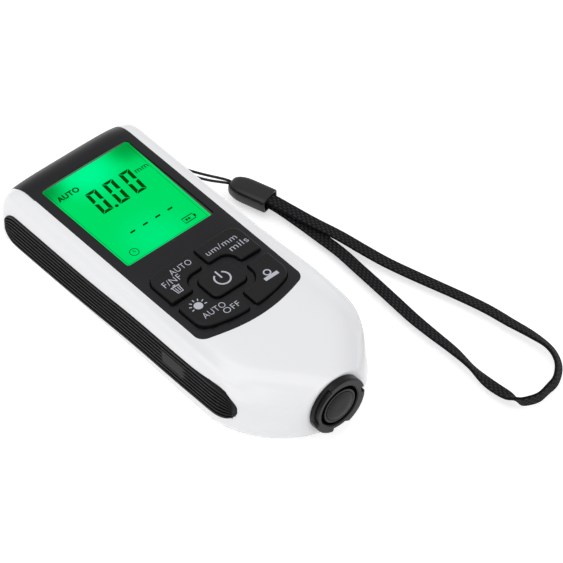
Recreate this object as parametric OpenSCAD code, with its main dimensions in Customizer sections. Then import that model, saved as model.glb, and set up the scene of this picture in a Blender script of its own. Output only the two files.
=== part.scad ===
// Pocket coating thickness gauge with a sprung probe, five keys and a wrist strap.
// Millimetres. The gauge lies on its back: +Z out of the display, +Y to the display's top,
// probe towards -Y, origin under the middle of the case.

/* [Case] */
// Length from the probe's tip to the top end
overall_l = 104; // [100:1:112]
// Width across the swell near the nose
body_w = 42.4; // [42:0.2:46]
// How far each side is drawn in along the display
waist_in = 0.5; // [0:0.1:1]
// Wall of the two case halves
case_wall = 2.2; // [2:0.1:2.6]
// Height of the line where the case halves meet
part_z = 4.6; // [4.2:0.1:4.8]
// Plan radius of the two corners at the top end
corner_r = 4.5; // [3:0.5:6]
// Rounding of the top end's upper edge
end_r = 8; // [6:0.5:9]
// Rounding of the top end's lower edge
end_low_r = 4; // [3:0.5:5]
// Width of the rounded shoulder beside the panel
shoulder_w = 4; // [3:0.25:4]
// Drop of that shoulder along the display
shoulder_h = 6.5; // [5:0.5:7]
// Drop of that shoulder at the swell
swell_shoulder_h = 4.5; // [3:0.5:6]
// Width of the rounded lower edge
low_edge_w = 4.6; // [3:0.2:5]
// Height of the rounded lower edge
low_edge_h = 5.6; // [4:0.2:6]
// Length of the domed nose
nose_l = 20.8; // [18:0.4:23]
// Radius of the nose where the probe collar sits
nose_r = 8.2; // [8:0.1:9]

/* [Face panel] */
// Width of the face panel
panel_w = 33.4; // [32.8:0.2:34.4]
// Thickness of the face panel
panel_t = 0.8; // [0.7:0.1:1]
// From the display's centre down to the panel's lower edge
panel_drop = 49.5; // [48.5:0.5:51]
// Radius of the panel's bowed lower edge
panel_arc_r = 39; // [34:1:60]
// Radius of the panel's two lower corners
panel_corner_r = 3; // [2:0.5:4]
// Height above the back at which the panel ends on the top end
panel_end_z = 10; // [8:0.5:12]

/* [Display] */
// Width of the display opening
display_w = 27.2; // [26:0.2:27.6]
// Length of the display opening
display_l = 33.2; // [31:0.2:33.6]
// From the top end to the display's centre
display_drop = 26.5; // [26:0.5:28]
// Thickness of the clear window behind the panel
window_t = 1.2; // [1:0.1:1.4]
// How far the window reaches under the panel on each side
window_lip = 1; // [0.8:0.1:1.2]
// Thickness of the liquid crystal glass
glass_t = 1.7; // [1.4:0.1:1.8]
// Thickness of the backlight plate
backlight_t = 1.5; // [1.2:0.1:1.6]

/* [Keys] */
// Width of the field of keys
field_w = 27.8; // [26:0.2:28.4]
// From the display's centre down to the power key's centre
key_drop = 35.2; // [34.8:0.1:35.6]
// From the power key's centre up to the field's upper edge
field_up = 11.9; // [11:0.1:12.2]
// From the field's bowed lower edge to the panel's lower edge
field_margin = 2.8; // [2.4:0.1:3.4]
// Radius of the field's two upper corners
field_top_r = 3; // [1:0.5:4]
// Radius of the field's two lower corners
field_low_r = 4; // [2:0.5:5]
// Gap between neighbouring keys
key_gap = 2; // [1.8:0.1:2.4]
// Width of the power key
power_w = 10.4; // [9:0.2:11]
// Length of the power key
power_l = 7.8; // [7:0.2:8.6]
// Corner radius of the power key
power_r = 1.8; // [1:0.2:2.4]
// How far a key stands out of the panel
key_rise = 0.9; // [0.7:0.1:1.4]
// How far a key goes down
key_travel = 0.6; // [0.4:0.1:0.7]
// Room all round a key in its opening
key_clear = 0.25; // [0.2:0.05:0.35]

/* [Probe] */
// Height of the probe's axis above the back
probe_z = 10.8; // [10.4:0.1:11.2]
// How far the probe's tip stands out of the nose
probe_out = 2.2; // [2:0.1:2.8]
// Radius of the collar
collar_r = 7.9; // [7.7:0.1:8]
// How far the collar stands out of the nose
collar_out = 2; // [1.8:0.1:2.2]
// Bore of the collar
collar_bore_r = 5.65; // [5.5:0.05:5.8]
// Radius of the probe's sleeve
sleeve_r = 4.8; // [4.6:0.1:4.9]
// Wall of the probe's sleeve
sleeve_wall = 0.6; // [0.5:0.1:0.8]
// How far the probe goes in
probe_travel = 1.5; // [1:0.1:2]
// Wire of the probe spring
spring_wire = 0.7; // [0.5:0.1:0.8]

/* [Batteries] */
// Diameter of a cell
cell_d = 10.5; // [10.2:0.1:10.5]
// Length of a cell
cell_l = 44.5; // [43:0.5:45]
// Thickness of the battery cover
cover_t = 1.6; // [1.4:0.1:1.8]
// From the display's centre down to the middle of the battery bay
bay_drop = 11; // [10:0.5:12]
// Shaft diameter of a case screw
screw_d = 2; // [1.8:0.1:2.2]

/* [Grips] */
// Height above the back of the grip's lower edge
grip_low_z = 5; // [4.9:0.1:5.4]
// From the face down to the grip's upper edge
grip_drop = 6.2; // [6:0.1:7]
// How much the grip's upper edge climbs at the nose end
grip_climb = 2.2; // [0:0.1:2.4]
// Thickness of the grip
grip_t = 0.8; // [0.7:0.1:1]
// How far the grip stands out of the side
grip_proud = 0.3; // [0.2:0.05:0.4]
// Number of lengthwise grooves in a grip
grip_grooves = 7; // [5:1:9]
// Depth of those grooves
groove_d = 0.5; // [0.3:0.05:0.6]

/* [Wrist strap] */
// Diameter of the thin cord
cord_d = 0.8; // [0.6:0.1:1]
// Width of the woven band
band_w = 3.4; // [3:0.2:4]
// Thickness of the woven band
band_t = 1; // [0.8:0.1:1.2]
// Length of the moulded bead
bead_l = 11.5; // [10:0.5:13]
// Width of the moulded bead
bead_w = 6.4; // [6.2:0.2:7.4]
// Height of the moulded bead
bead_h = 5.2; // [5:0.2:6]

/* [Hidden] */
$fn = 48;
// Room between pieces that are fitted together
fit = 0.1;
// Room between pieces that move past each other
slip = 0.3;

// Places along the case
top_y = overall_l / 2;
tip_y = -overall_l / 2;
nose_y = tip_y + probe_out;
dome_y = nose_y + nose_l;
display_y = top_y - display_drop;
panel_low_y = display_y - panel_drop;
power_y = display_y - key_drop;
field_top_y = power_y + field_up;
field_low_y = panel_low_y + field_margin;
bay_y = display_y - bay_drop;
swell_y = dome_y + 7;
swell_run = 27;

// Heights from the back up: cover, cells, roof of the bay, board, display and face
cell_clear = 0.25;
bay_roof = 0.7;
board_t = 1;
glass_clear = 0.2;
cell_z = cover_t + cell_clear + cell_d / 2;
bay_top_z = cell_z + cell_d / 2 + fit;
board_z = bay_top_z + bay_roof + cell_clear;
board_top_z = board_z + board_t;
glass_z = board_top_z + backlight_t;
glass_top_z = glass_z + glass_t;
floor_z = glass_top_z + glass_clear + max(0, window_t + panel_t - case_wall);
body_h = floor_z + case_wall;
seat_z = body_h - panel_t;
window_z = seat_z - window_t;

function clamp01(x) = max(0, min(1, x));
function smooth01(x) = let (t = clamp01(x)) t * t * (3 - 2 * t);
function dip(t) = 1 - sqrt(max(0, 1 - t * t));

// Case form: half width, top and bottom heights and corner sizes at each place along Y
function swell(y) = smooth01((swell_y + swell_run - y) / swell_run);
function nose_part(y) = clamp01((dome_y - y) / nose_l);
function end_part(y, r) = clamp01((y - (top_y - r)) / r);
function plain_w(y) = body_w / 2 - waist_in * (1 - swell(y)) - corner_r * dip(end_part(y, corner_r));
function half_w(y) = nose_r + (plain_w(y) - nose_r) * pow(1 - pow(nose_part(y), 2), 0.6);
function nose_top() = probe_z + nose_r;
function nose_bottom() = probe_z - nose_r;
function top_z(y) = nose_top()
  + (body_h - end_r * dip(end_part(y, end_r)) - nose_top()) * pow(1 - pow(nose_part(y), 2.6), 0.69);
function bottom_z(y) = nose_bottom()
  + (end_low_r * dip(end_part(y, end_low_r)) - nose_bottom()) * pow(1 - pow(nose_part(y), 5), 0.46);
function mid_h(y) = (top_z(y) - bottom_z(y)) / 2;
function toward_nose(y, a, b) = a + (b - a) * pow(nose_part(y), 1.5);
function upper_w(y) = min(toward_nose(y, shoulder_w, half_w(y)), half_w(y) - 0.5);
function side_drop(y) = shoulder_h + (swell_shoulder_h - shoulder_h) * swell(y);
function upper_h(y) = min(toward_nose(y, side_drop(y), mid_h(y)), mid_h(y) - 0.3);
function lower_w(y) = min(toward_nose(y, low_edge_w, half_w(y)), half_w(y) - 0.5);
function lower_h(y) = min(toward_nose(y, low_edge_h, mid_h(y)), mid_h(y) - 0.3);

// Distance of the side wall from the middle plane at a place along Y and a height
function side_x(y, z) = let (
    up = clamp01((z - (top_z(y) - upper_h(y))) / upper_h(y)),
    low = clamp01(((bottom_z(y) + lower_h(y)) - z) / lower_h(y)))
  half_w(y) - upper_w(y) * dip(up) - lower_w(y) * dip(low);

// One closed section of the case, drawn in by inset
arc_steps = 5;
function case_ring(y, inset) = let (
    w = half_w(y) - inset,
    t = top_z(y) - inset,
    b = bottom_z(y) + inset,
    uw = max(upper_w(y) - inset, 0.4),
    uh = max(upper_h(y) - inset, 0.4),
    lw = max(lower_w(y) - inset, 0.4),
    lh = max(lower_h(y) - inset, 0.4),
    place = y - inset * end_part(y, end_r) + inset * nose_part(y))
  [for (q = [0 : 3], i = [0 : arc_steps])
    let (
      s = (q == 0 || q == 3) ? 1 : -1,
      up = q < 2,
      a = 90 * ((q % 2 == 0) ? i : arc_steps - i) / arc_steps,
      ew = up ? uw : lw,
      eh = up ? uh : lh)
    [s * (w - ew + ew * cos(a)), place, up ? t - eh + eh * sin(a) : b + lh - eh * sin(a)]];

// Solid between closed rings that all have the same number of points
module skin(rings) {
  n = len(rings[0]);
  m = len(rings);
  points = [for (r = rings) each r];
  sides = [for (j = [0 : m - 2], i = [0 : n - 1])
    let (a = j * n + i, b = j * n + (i + 1) % n) each [[a, b, b + n], [a, b + n, a + n]]];
  first = [for (i = [0 : n - 3]) [n - 1, i + 1, i]];
  last = [for (i = [0 : n - 3]) [m * n - 1, (m - 1) * n + i, (m - 1) * n + i + 1]];
  polyhedron(points = points, faces = concat(sides, first, last), convexity = 8);
}

// Places of the sections: close together round the nose and the top end
nose_steps = 8;
side_steps = 6;
end_steps = 6;
case_places = concat(
  [for (i = [nose_steps : -1 : 1]) dome_y - nose_l * sin(90 * i / nose_steps)],
  [for (i = [0 : side_steps]) dome_y + (top_y - end_r - dome_y) * i / side_steps],
  [for (i = [1 : end_steps]) top_y - end_r + end_r * sin(90 * i / end_steps)]);
module case_form(inset = 0) {
  skin([for (y = case_places) case_ring(y, inset)]);
}

// Half-space above or below a height, as a box around the case
module slab(z0, z1) {
  translate([-body_w, tip_y - 5, z0]) cube([2 * body_w, overall_l + 10, z1 - z0]);
}

// Rectangle with round corners, centred
module round_rect(w, l, r) {
  square([w - 2 * r, l], center = true);
  square([w, l - 2 * r], center = true);
  for (sx = [-1, 1], sy = [-1, 1]) translate([sx * (w / 2 - r), sy * (l / 2 - r)]) circle(r);
}

// Tablet with straight sides, a bowed lower edge and rounded lower corners
module tablet(w, low_y, high_y, arc_r, low_r) {
  arc_y = low_y + arc_r;
  corner_x = w / 2 - low_r;
  corner_y = arc_y - sqrt(pow(arc_r - low_r, 2) - pow(corner_x, 2));
  reach = arc_r / (arc_r - low_r);
  foot = [corner_x * reach, (corner_y - arc_y) * reach + arc_y];
  translate([-w / 2, corner_y]) square([w, high_y - corner_y]);
  for (s = [-1, 1]) translate([s * corner_x, corner_y]) circle(low_r);
  intersection() {
    translate([0, arc_y]) circle(arc_r, $fn = 96);
    polygon([[-foot[0], corner_y + 0.01], [foot[0], corner_y + 0.01], foot,
      [foot[0], low_y - 1], [-foot[0], low_y - 1], [-foot[0], foot[1]]]);
  }
}

module panel_outline(grow = 0) {
  tablet(panel_w + 2 * grow, panel_low_y - grow, top_y + 5, panel_arc_r + grow, panel_corner_r + grow);
}

// Field of keys with rounded upper corners
module field_outline(grow = 0) {
  r = field_top_r + grow;
  w = field_w + 2 * grow;
  high_y = field_top_y + grow;
  arc = panel_arc_r - field_margin + grow;
  tablet(w, field_low_y - grow, high_y - r, arc, field_low_r + grow);
  translate([-w / 2 + r, high_y - r - 0.01]) square([w - 2 * r, r + 0.01]);
  for (s = [-1, 1]) translate([s * (w / 2 - r), high_y - r]) circle(r);
}

module power_outline(grow = 0) {
  translate([0, power_y]) round_rect(power_w + 2 * grow, power_l + 2 * grow, power_r + grow);
}

// One of the four outer keys: a quarter of the field less the room round the power key
module outer_outline(sx, sy, grow = 0) {
  far = field_w;
  near = key_gap / 2 - grow;
  split_y = power_y + 0.8;
  difference() {
    intersection() {
      field_outline(grow);
      translate([sx > 0 ? near : -far - near, sy > 0 ? split_y + near : split_y - far - near]) square(far);
    }
    power_outline(key_gap + key_clear - grow);
  }
}

key_sides = [[-1, 1], [1, 1], [-1, -1], [1, -1]];
module key_openings() {
  power_outline(key_clear);
  for (k = key_sides) outer_outline(k[0], k[1], key_clear);
}

switch_h = 1.2;
switch_w = 4.4;
switch_top_z = board_top_z + switch_h;
// Key cap with a flange under the case and a stub above its switch
key_top_z = body_h + key_rise;
flange_t = 0.6;
flange_grow = 0.7;
flange_top_z = floor_z - slip;
stub_z = switch_top_z + key_travel + 0.1;
stub_r = 1.5;
module key_cap(stub) {
  translate([0, 0, flange_top_z - flange_t]) linear_extrude(key_top_z - flange_top_z + flange_t) children(0);
  translate([0, 0, flange_top_z - flange_t]) linear_extrude(flange_t) children(1);
  translate([stub[0], stub[1], stub_z]) cylinder(r = stub_r, h = flange_top_z - stub_z);
}

outer_x = field_w / 2 - 4.4;
upper_y = power_y + field_up / 2 + 0.8;
lower_y = power_y - field_up / 2;
stubs = [[-outer_x, upper_y], [outer_x, upper_y], [-outer_x, lower_y], [outer_x, lower_y]];

module key_power() {
  color([0.13, 0.13, 0.14]) key_cap([0, power_y]) {
    power_outline();
    power_outline(flange_grow);
  }
}
module outer_key(i) {
  color([0.13, 0.13, 0.14]) key_cap(stubs[i]) {
    outer_outline(key_sides[i][0], key_sides[i][1]);
    outer_outline(key_sides[i][0], key_sides[i][1], flange_grow);
  }
}
module key_mode() { outer_key(0); }
module key_units() { outer_key(1); }
module key_light() { outer_key(2); }
module key_zero() { outer_key(3); }

module key_switches() {
  color([0.75, 0.75, 0.75]) for (p = concat([[0, power_y]], stubs))
    translate([p[0], p[1], board_top_z]) {
      translate([-switch_w / 2, -switch_w / 2, 0]) cube([switch_w, switch_w, switch_h - 0.3]);
      cylinder(r = 1.2, h = switch_h);
    }
}

// Grip outline: height of its lower and upper edge at a place along Y
grip_top_y = top_y - 4.5;
grip_tip_y = dome_y - 9.5;
grip_round = 5;
grip_point = 8;
eyelet_y = top_y - 9;
eyelet_l = 6;
grip_right_top_y = eyelet_y - eyelet_l / 2 - 3.5;
grip_high_z = body_h - grip_drop;
grip_mid_z = (grip_low_z + grip_high_z) / 2;
function grip_close(y, end_y) =
  1 - max(dip(clamp01((y - (end_y - grip_round)) / grip_round)),
    dip(clamp01((grip_tip_y + grip_point - y) / grip_point)));
function grip_rise(y) = grip_climb * smooth01((dome_y + 6 - y) / 9);
function grip_axis(y) = grip_mid_z + grip_rise(y) / 3;
function grip_up(y, end_y) = (grip_high_z + grip_rise(y) - grip_axis(y)) * grip_close(y, end_y);
function grip_down(y, end_y) = (grip_axis(y) - grip_low_z) * grip_close(y, end_y);
function grip_z(y, end_y, v) = grip_axis(y) + v * (v > 0 ? grip_up(y, end_y) : grip_down(y, end_y));

// Ring of the grip: grooved outer face and plain back
groove_span = 0.8;
groove_points = 2 * grip_grooves;
function groove_v(i) = groove_span * (2 * i / groove_points - 1);
function grip_ring(y, end_y, s) = let (
    deep = groove_d * smooth01(3 * (grip_close(y, end_y) - 0.45)),
    v = concat([-1], [for (i = [0 : groove_points]) groove_v(i)], [1]),
    face = [for (i = [0 : len(v) - 1]) let (
        z = grip_z(y, end_y, v[i]),
        cut = (i > 1 && i < len(v) - 2 && i % 2 == 0) ? deep : 0)
      [s * (side_x(y, z) + grip_proud - cut), y, z]],
    low_z = face[0][2],
    high_z = face[len(v) - 1][2],
    back = min(side_x(y, low_z), side_x(y, high_z)) - grip_t)
  concat(face, [[s * back, y, high_z], [s * back, y, low_z]]);
grip_steps = 22;
function grip_y(i, end_y) = grip_tip_y + (end_y - grip_tip_y) * (0.5 - 0.5 * cos(3 + 174 * i / grip_steps));
module grip_form(end_y, s) {
  order = s < 0 ? [grip_steps : -1 : 0] : [0 : grip_steps];
  skin([for (i = order) grip_ring(grip_y(i, end_y), end_y, s)]);
}

// Pocket that a grip sits in: its side outline cut straight into the case
function pocket_y(i, end_y) = let (y = grip_y(i, end_y)) y + (y < bay_y ? -fit : fit);
module grip_pocket(end_y) {
  rotate([90, 0, 90]) linear_extrude(body_w) polygon(concat(
    [for (i = [0 : grip_steps]) [pocket_y(i, end_y), grip_z(grip_y(i, end_y), end_y, -1) - fit]],
    [for (i = [grip_steps : -1 : 0]) [pocket_y(i, end_y), grip_z(grip_y(i, end_y), end_y, 1) + fit]]));
}
module grip_left() { color([0.12, 0.12, 0.13]) grip_form(grip_top_y, -1); }
module grip_right() { color([0.12, 0.12, 0.13]) grip_form(grip_right_top_y, 1); }

// Strap bar in a pocket of the right side
bar_r = 0.8;
bar_x = body_w / 2 - waist_in - 2;
eyelet_low_z = 6.4;
eyelet_depth = 4.4;
eyelet_wall = 0.9;
eyelet_h = board_z - eyelet_low_z - eyelet_wall - board_t / 2;
eyelet_in_x = body_w / 2 - waist_in - eyelet_depth;
module eyelet_block() {
  translate([eyelet_in_x - eyelet_wall, eyelet_y - eyelet_l / 2 - eyelet_wall, eyelet_low_z - eyelet_wall])
    cube([eyelet_depth, eyelet_l + 2 * eyelet_wall, eyelet_h + 2 * eyelet_wall]);
}
module eyelet_cavity() {
  translate([eyelet_in_x, eyelet_y - eyelet_l / 2, eyelet_low_z]) cube([body_w, eyelet_l, eyelet_h]);
}
module eyelet_bar() {
  translate([bar_x, eyelet_y, eyelet_low_z - eyelet_wall / 2])
    cylinder(r = bar_r, h = eyelet_h + eyelet_wall);
}

// Case screws and their bosses
screw_x = 12.5;
screw_top_y = top_y - 5.2;
screw_low_y = dome_y - nose_l / 5;
screw_places = [for (y = [screw_top_y, screw_low_y], s = [-1, 1]) [s * screw_x, y]];
screw_head_r = screw_d * 0.95;
screw_head_h = 1.4;
screw_seat_z = 3;
screw_l = 8;
boss_r = 2.6;
boss_split_z = 6;
boss_root = 0.6;
module at_screws() {
  for (p = screw_places) translate([p[0], p[1], 0]) children();
}
module case_screws() {
  color([0.6, 0.6, 0.62]) at_screws() {
    difference() {
      translate([0, 0, screw_seat_z - screw_head_h]) cylinder(r = screw_head_r, h = screw_head_h);
      translate([-0.3, -1.2, screw_seat_z - screw_head_h - 1]) cube([0.6, 2.4, 1.6]);
      translate([-1.2, -0.3, screw_seat_z - screw_head_h - 1]) cube([2.4, 0.6, 1.6]);
    }
    translate([0, 0, screw_seat_z - 0.01]) cylinder(d = screw_d, h = screw_l);
  }
}

// Probe pieces are turned about the probe's axis
module on_probe_axis(y) {
  translate([0, y, probe_z]) rotate([-90, 0, 0]) children();
}
collar_y = nose_y - collar_out;
collar_lip = 0.9;
hole_r = collar_r - collar_lip;
housing_r = hole_r - fit;
// Room behind the nose for the probe, shared between collar, guide and spring
probe_room = field_low_y - nose_y;
spigot_l = 0.134 * probe_room;
housing_y = nose_y + spigot_l;
guide_l = 0.15 * probe_room;
guide_r = sleeve_r + slip;
chamber_r = housing_r - 1;
flange_y = housing_y + guide_l + slip;
sleeve_flange_t = 1.5;
sleeve_flange_r = chamber_r - slip;
spring_y = flange_y + sleeve_flange_t;
spring_l = 0.41 * probe_room;
housing_end_t = 1.6;
housing_l = spring_y + spring_l + housing_end_t - housing_y;
sleeve_y = tip_y + 0.3;
tip_r = sleeve_r - sleeve_wall - fit;
tip_t = 1.4;
lead_hole_r = 1.4;
stop_r = 2.4;
collar_bevel = 0.7;
// Two gaps between the collar's lugs: from and to, in degrees from +X towards +Z
lug_gaps = [[-65, 20], [110, 195]];
lug_ring_r = collar_r - 1.4;
lug_h = collar_out / 2;
lug_gap_steps = 6;

module lug_gap(from, to) {
  far = 2 * collar_r;
  rim = [for (i = [0 : lug_gap_steps]) from + (to - from) * i / lug_gap_steps];
  difference() {
    translate([0, 0, -1]) linear_extrude(lug_h + 1)
      polygon(concat([[0, 0]], [for (a = rim) [far * cos(a), -far * sin(a)]]));
    translate([0, 0, -2]) cylinder(r = lug_ring_r, h = lug_h + 3);
  }
}
module probe_collar() {
  color([0.1, 0.1, 0.11]) on_probe_axis(collar_y) difference() {
    rotate_extrude() polygon([
      [collar_bore_r, 0], [collar_r - collar_bevel, 0], [collar_r, collar_bevel], [collar_r, collar_out],
      [housing_r, collar_out], [housing_r, collar_out + spigot_l - fit],
      [collar_bore_r, collar_out + spigot_l - fit]]);
    for (g = lug_gaps) lug_gap(g[0], g[1]);
  }
}
module probe_housing() {
  color([0.2, 0.2, 0.22]) on_probe_axis(housing_y) difference() {
    cylinder(r = housing_r, h = housing_l);
    translate([0, 0, -1]) cylinder(r = guide_r, h = guide_l + 2);
    translate([0, 0, guide_l]) cylinder(r = chamber_r, h = housing_l - guide_l - housing_end_t);
    cylinder(r = lead_hole_r, h = housing_l + 1);
  }
  color([0.2, 0.2, 0.22]) on_probe_axis(spring_y + probe_travel + fit / 2) difference() {
    cylinder(r = stop_r, h = spring_l - probe_travel);
    translate([0, 0, -1]) cylinder(r = lead_hole_r, h = spring_l + 2);
  }
}
module probe_sleeve() {
  back_y = spring_y - sleeve_y;
  color([0.16, 0.16, 0.17]) on_probe_axis(sleeve_y) difference() {
    union() {
      cylinder(r = sleeve_r, h = back_y);
      translate([0, 0, flange_y - sleeve_y]) cylinder(r = sleeve_flange_r, h = sleeve_flange_t);
    }
    translate([0, 0, -1]) cylinder(r = sleeve_r - sleeve_wall, h = back_y - 1);
    cylinder(r = 1.2, h = back_y + 1);
  }
}
tip_back_y = tip_y + tip_t;
core_r = 1.4;
core_end_y = spring_y - 2;
tip_crown = 0.25;
module probe_tip() {
  color([0.22, 0.22, 0.24]) on_probe_axis(tip_y) rotate_extrude() polygon([[0, 0], [0.4 * tip_r, 0],
    [0.7 * tip_r, tip_crown / 4], [tip_r, tip_crown], [tip_r, tip_t], [0, tip_t]]);
}
module probe_core() {
  color([0.35, 0.35, 0.37]) on_probe_axis(tip_back_y) cylinder(r = core_r, h = core_end_y - tip_back_y);
}
coil_y = tip_back_y + 0.4;
coil_l = 5;
module probe_coil() {
  color([0.72, 0.42, 0.2]) on_probe_axis(coil_y) difference() {
    cylinder(r = tip_r - 0.6, h = coil_l);
    translate([0, 0, -1]) cylinder(r = core_r, h = coil_l + 2);
  }
}

// Round wire along a path, one ring at each point
function unit(v) = v / norm(v);
function heading(path, i) = unit(path[min(i + 1, len(path) - 1)] - path[max(i - 1, 0)]);
function wire_ring(c, t, r, n) = let (
    side = unit(cross(t, abs(t[2]) > 0.95 ? [1, 0, 0] : [0, 0, 1])),
    up = cross(side, t))
  [for (k = [0 : n - 1]) c + r * (cos(360 * (k + 0.5) / n) * side + sin(360 * (k + 0.5) / n) * up)];
module wire(path, d, n) {
  skin([for (i = [0 : len(path) - 1]) wire_ring(path[i], heading(path, i), d / 2, n)]);
}
function helix(r, length, turns, per_turn) = [for (i = [0 : turns * per_turn])
  [r * cos(360 * i / per_turn), r * sin(360 * i / per_turn), length * i / (turns * per_turn)]];

module probe_spring() {
  color([0.7, 0.7, 0.72]) on_probe_axis(spring_y + spring_wire / 2 + 0.05)
    wire(helix(sleeve_flange_r - 0.9, spring_l - spring_wire - 0.1, 6, 10), spring_wire, 6);
}

// Lead from the probe housing to the board
lead_d = 1.2;
lead_y = housing_y + housing_l;
lead_end_y = lead_y + 4;
module probe_lead() {
  color([0.15, 0.15, 0.16]) wire([[0, lead_y, probe_z], [0, lead_y + 1.4, probe_z],
    [0, lead_y + 2.6, probe_z + 0.4], [0, lead_end_y, board_z - 1.2], [0, lead_end_y, board_z]], lead_d, 8);
}

// Battery bay, cells, contacts and cover
cell_x = cell_d / 2 + 0.15;
bay_l = cell_l + 4.6;
bay_w = 2 * cell_d + 0.8;
bay_wall = 1.2;
bay_low_y = bay_y - bay_l / 2;
spring_space = 3.4;
cell_y = bay_low_y + spring_space;
contact_t = 0.4;
cover_lip = 1.6;
cover_w = bay_w + 2 * cover_lip;
cover_l = bay_l + 2 * cover_lip;
cover_tab_l = 1.6;
cover_tab_w = 4;
cover_tab_t = 0.9;

module battery(sx, turn) {
  translate([sx * cell_x, cell_y + cell_l / 2, cell_z]) rotate([turn, 0, 0]) translate([0, 0, -cell_l / 2]) {
    cylinder(d = cell_d, h = cell_l - 1);
    cylinder(d = 3.8, h = cell_l);
  }
}
module battery_left() { color([0.2, 0.35, 0.6]) battery(-1, -90); }
module battery_right() { color([0.2, 0.35, 0.6]) battery(1, 90); }
module battery_springs() {
  places = [[-1, bay_low_y, -90], [1, bay_low_y + bay_l, 90]];
  gap = [spring_space, bay_l - spring_space - cell_l];
  color([0.75, 0.75, 0.76]) for (i = [0, 1])
    translate([places[i][0] * cell_x, places[i][1], cell_z]) rotate([places[i][2], 0, 0]) {
      translate([-4, -4, 0.02]) cube([8, 8, contact_t]);
      translate([0, 0, contact_t - 0.1 + 0.3])
        wire(helix(2.6, gap[i] - contact_t - 0.55, i == 0 ? 3 : 1, 10), 0.6, 6);
    }
}
module battery_contacts() {
  places = [[1, bay_low_y, -90, spring_space], [-1, bay_low_y + bay_l, 90, bay_l - spring_space - cell_l]];
  color([0.78, 0.78, 0.78]) for (p = places)
    translate([p[0] * cell_x, p[1], cell_z]) rotate([p[2], 0, 0]) {
      translate([-4, -4, 0.02]) cube([8, 8, contact_t]);
      cylinder(r = 1.8, h = p[3] - 0.05);
    }
}
module cover_outline(grow = 0) {
  translate([0, bay_y]) round_rect(cover_w + 2 * grow, cover_l + 2 * grow, 1.5 + grow);
}
module at_cover_tabs() {
  for (s = [-1, 1]) translate([s * cover_w / 4, bay_y - cover_l / 2, 0]) children();
}
thumb_y = bay_y + cover_l / 2 - 5;
module battery_cover() {
  color([0.92, 0.92, 0.93]) {
    difference() {
      linear_extrude(cover_t) cover_outline();
      for (i = [-2 : 2]) translate([-5, thumb_y + 1.2 * i - 0.3, -0.01]) cube([10, 0.6, 0.4]);
    }
    at_cover_tabs() translate([-cover_tab_w / 2, -cover_tab_l, cover_t])
      cube([cover_tab_w, cover_tab_l + cover_lip, cover_tab_t]);
  }
}

// Display stack
window_w = display_w + 2 * window_lip;
window_l = display_l + 2 * window_lip;
window_r = 1.2;
frame_wall = 0.8;
module display_place(z) {
  translate([0, display_y, z]) children();
}
module display_window() {
  color([0.8, 0.85, 0.85, 0.4]) display_place(window_z) linear_extrude(window_t)
    round_rect(window_w, window_l, window_r);
}
module lcd_glass() {
  color([0.1, 0.7, 0.3]) display_place(glass_z) translate([0, 0, glass_t / 2])
    cube([window_w, window_l, glass_t], center = true);
}
strip_l = 1.6;
module backlight_plate() {
  color([0.85, 0.95, 0.85]) display_place(board_top_z)
    translate([-window_w / 2, -window_l / 2 + strip_l + fit, 0])
      cube([window_w, window_l - strip_l - fit, backlight_t]);
}
module lcd_connector() {
  color([0.85, 0.55, 0.6]) display_place(board_top_z)
    translate([-window_w / 2 + 1, -window_l / 2, 0]) cube([window_w - 2, strip_l, backlight_t]);
}
module lcd_frame() {
  color([0.6, 0.6, 0.62]) display_place(board_top_z) linear_extrude(glass_top_z - board_top_z) difference() {
    square([window_w + 2 * frame_wall + 2 * fit, window_l + 2 * frame_wall + 2 * fit], center = true);
    square([window_w + 2 * fit, window_l + 2 * fit], center = true);
  }
}

// Main board, held against posts of the front case
board_w = 32.4;
board_low_y = max(lead_end_y - 2 * lead_d, screw_low_y + boss_r + 2 * cell_clear);
board_high_y = display_y + window_l / 2 + frame_wall + fit;
post_x = board_w / 2 - 1.4;
post_r = 1.1;
post_places = [for (s = [-1, 1], y = [field_top_y + 1.8, field_low_y + 1.2]) [s * post_x, y]];
module main_board() {
  color([0.1, 0.4, 0.2]) translate([-board_w / 2, board_low_y, board_z])
    cube([board_w, board_high_y - board_low_y, board_t]);
}
chip_w = 12;
chip_l = 3;
chip_t = 1;
module controller_chip() {
  color([0.08, 0.08, 0.09]) translate([-chip_w / 2, field_top_y + fit, board_top_z])
    cube([chip_w, chip_l, chip_t]);
}

// Front half of the case
module front_case() {
  color([0.93, 0.93, 0.94]) difference() {
    union() {
      difference() {
        intersection() {
          case_form();
          slab(part_z, body_h + 5);
        }
        difference() {
          case_form(case_wall);
          eyelet_block();
        }
        difference() {
          union() {
            translate([0, 0, panel_end_z - fit]) linear_extrude(body_h) panel_outline(fit);
            grip_pocket_pair();
          }
          case_form(max(panel_t, grip_t) + fit);
        }
        eyelet_cavity();
        on_probe_axis(nose_y - 5) cylinder(r = hole_r, h = housing_l + spigot_l + 5 + 2);
      }
      eyelet_bar();
      intersection() {
        union() {
          at_screws() translate([0, 0, boss_split_z]) cylinder(r = boss_r, h = body_h);
          for (p = post_places) translate([p[0], p[1], board_top_z]) cylinder(r = post_r, h = body_h);
        }
        case_form(case_wall - boss_root);
      }
    }
    at_screws() translate([0, 0, -1]) cylinder(d = screw_d, h = screw_seat_z + screw_l + 1.4);
    translate([0, 0, floor_z - 1]) linear_extrude(body_h) key_openings();
    display_place(floor_z - 1) linear_extrude(body_h)
      round_rect(window_w + 2 * fit, window_l + 2 * fit, window_r + fit);
  }
}
module grip_pocket_pair() {
  translate([-body_w, 0, 0]) grip_pocket(grip_top_y);
  grip_pocket(grip_right_top_y);
}

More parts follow.
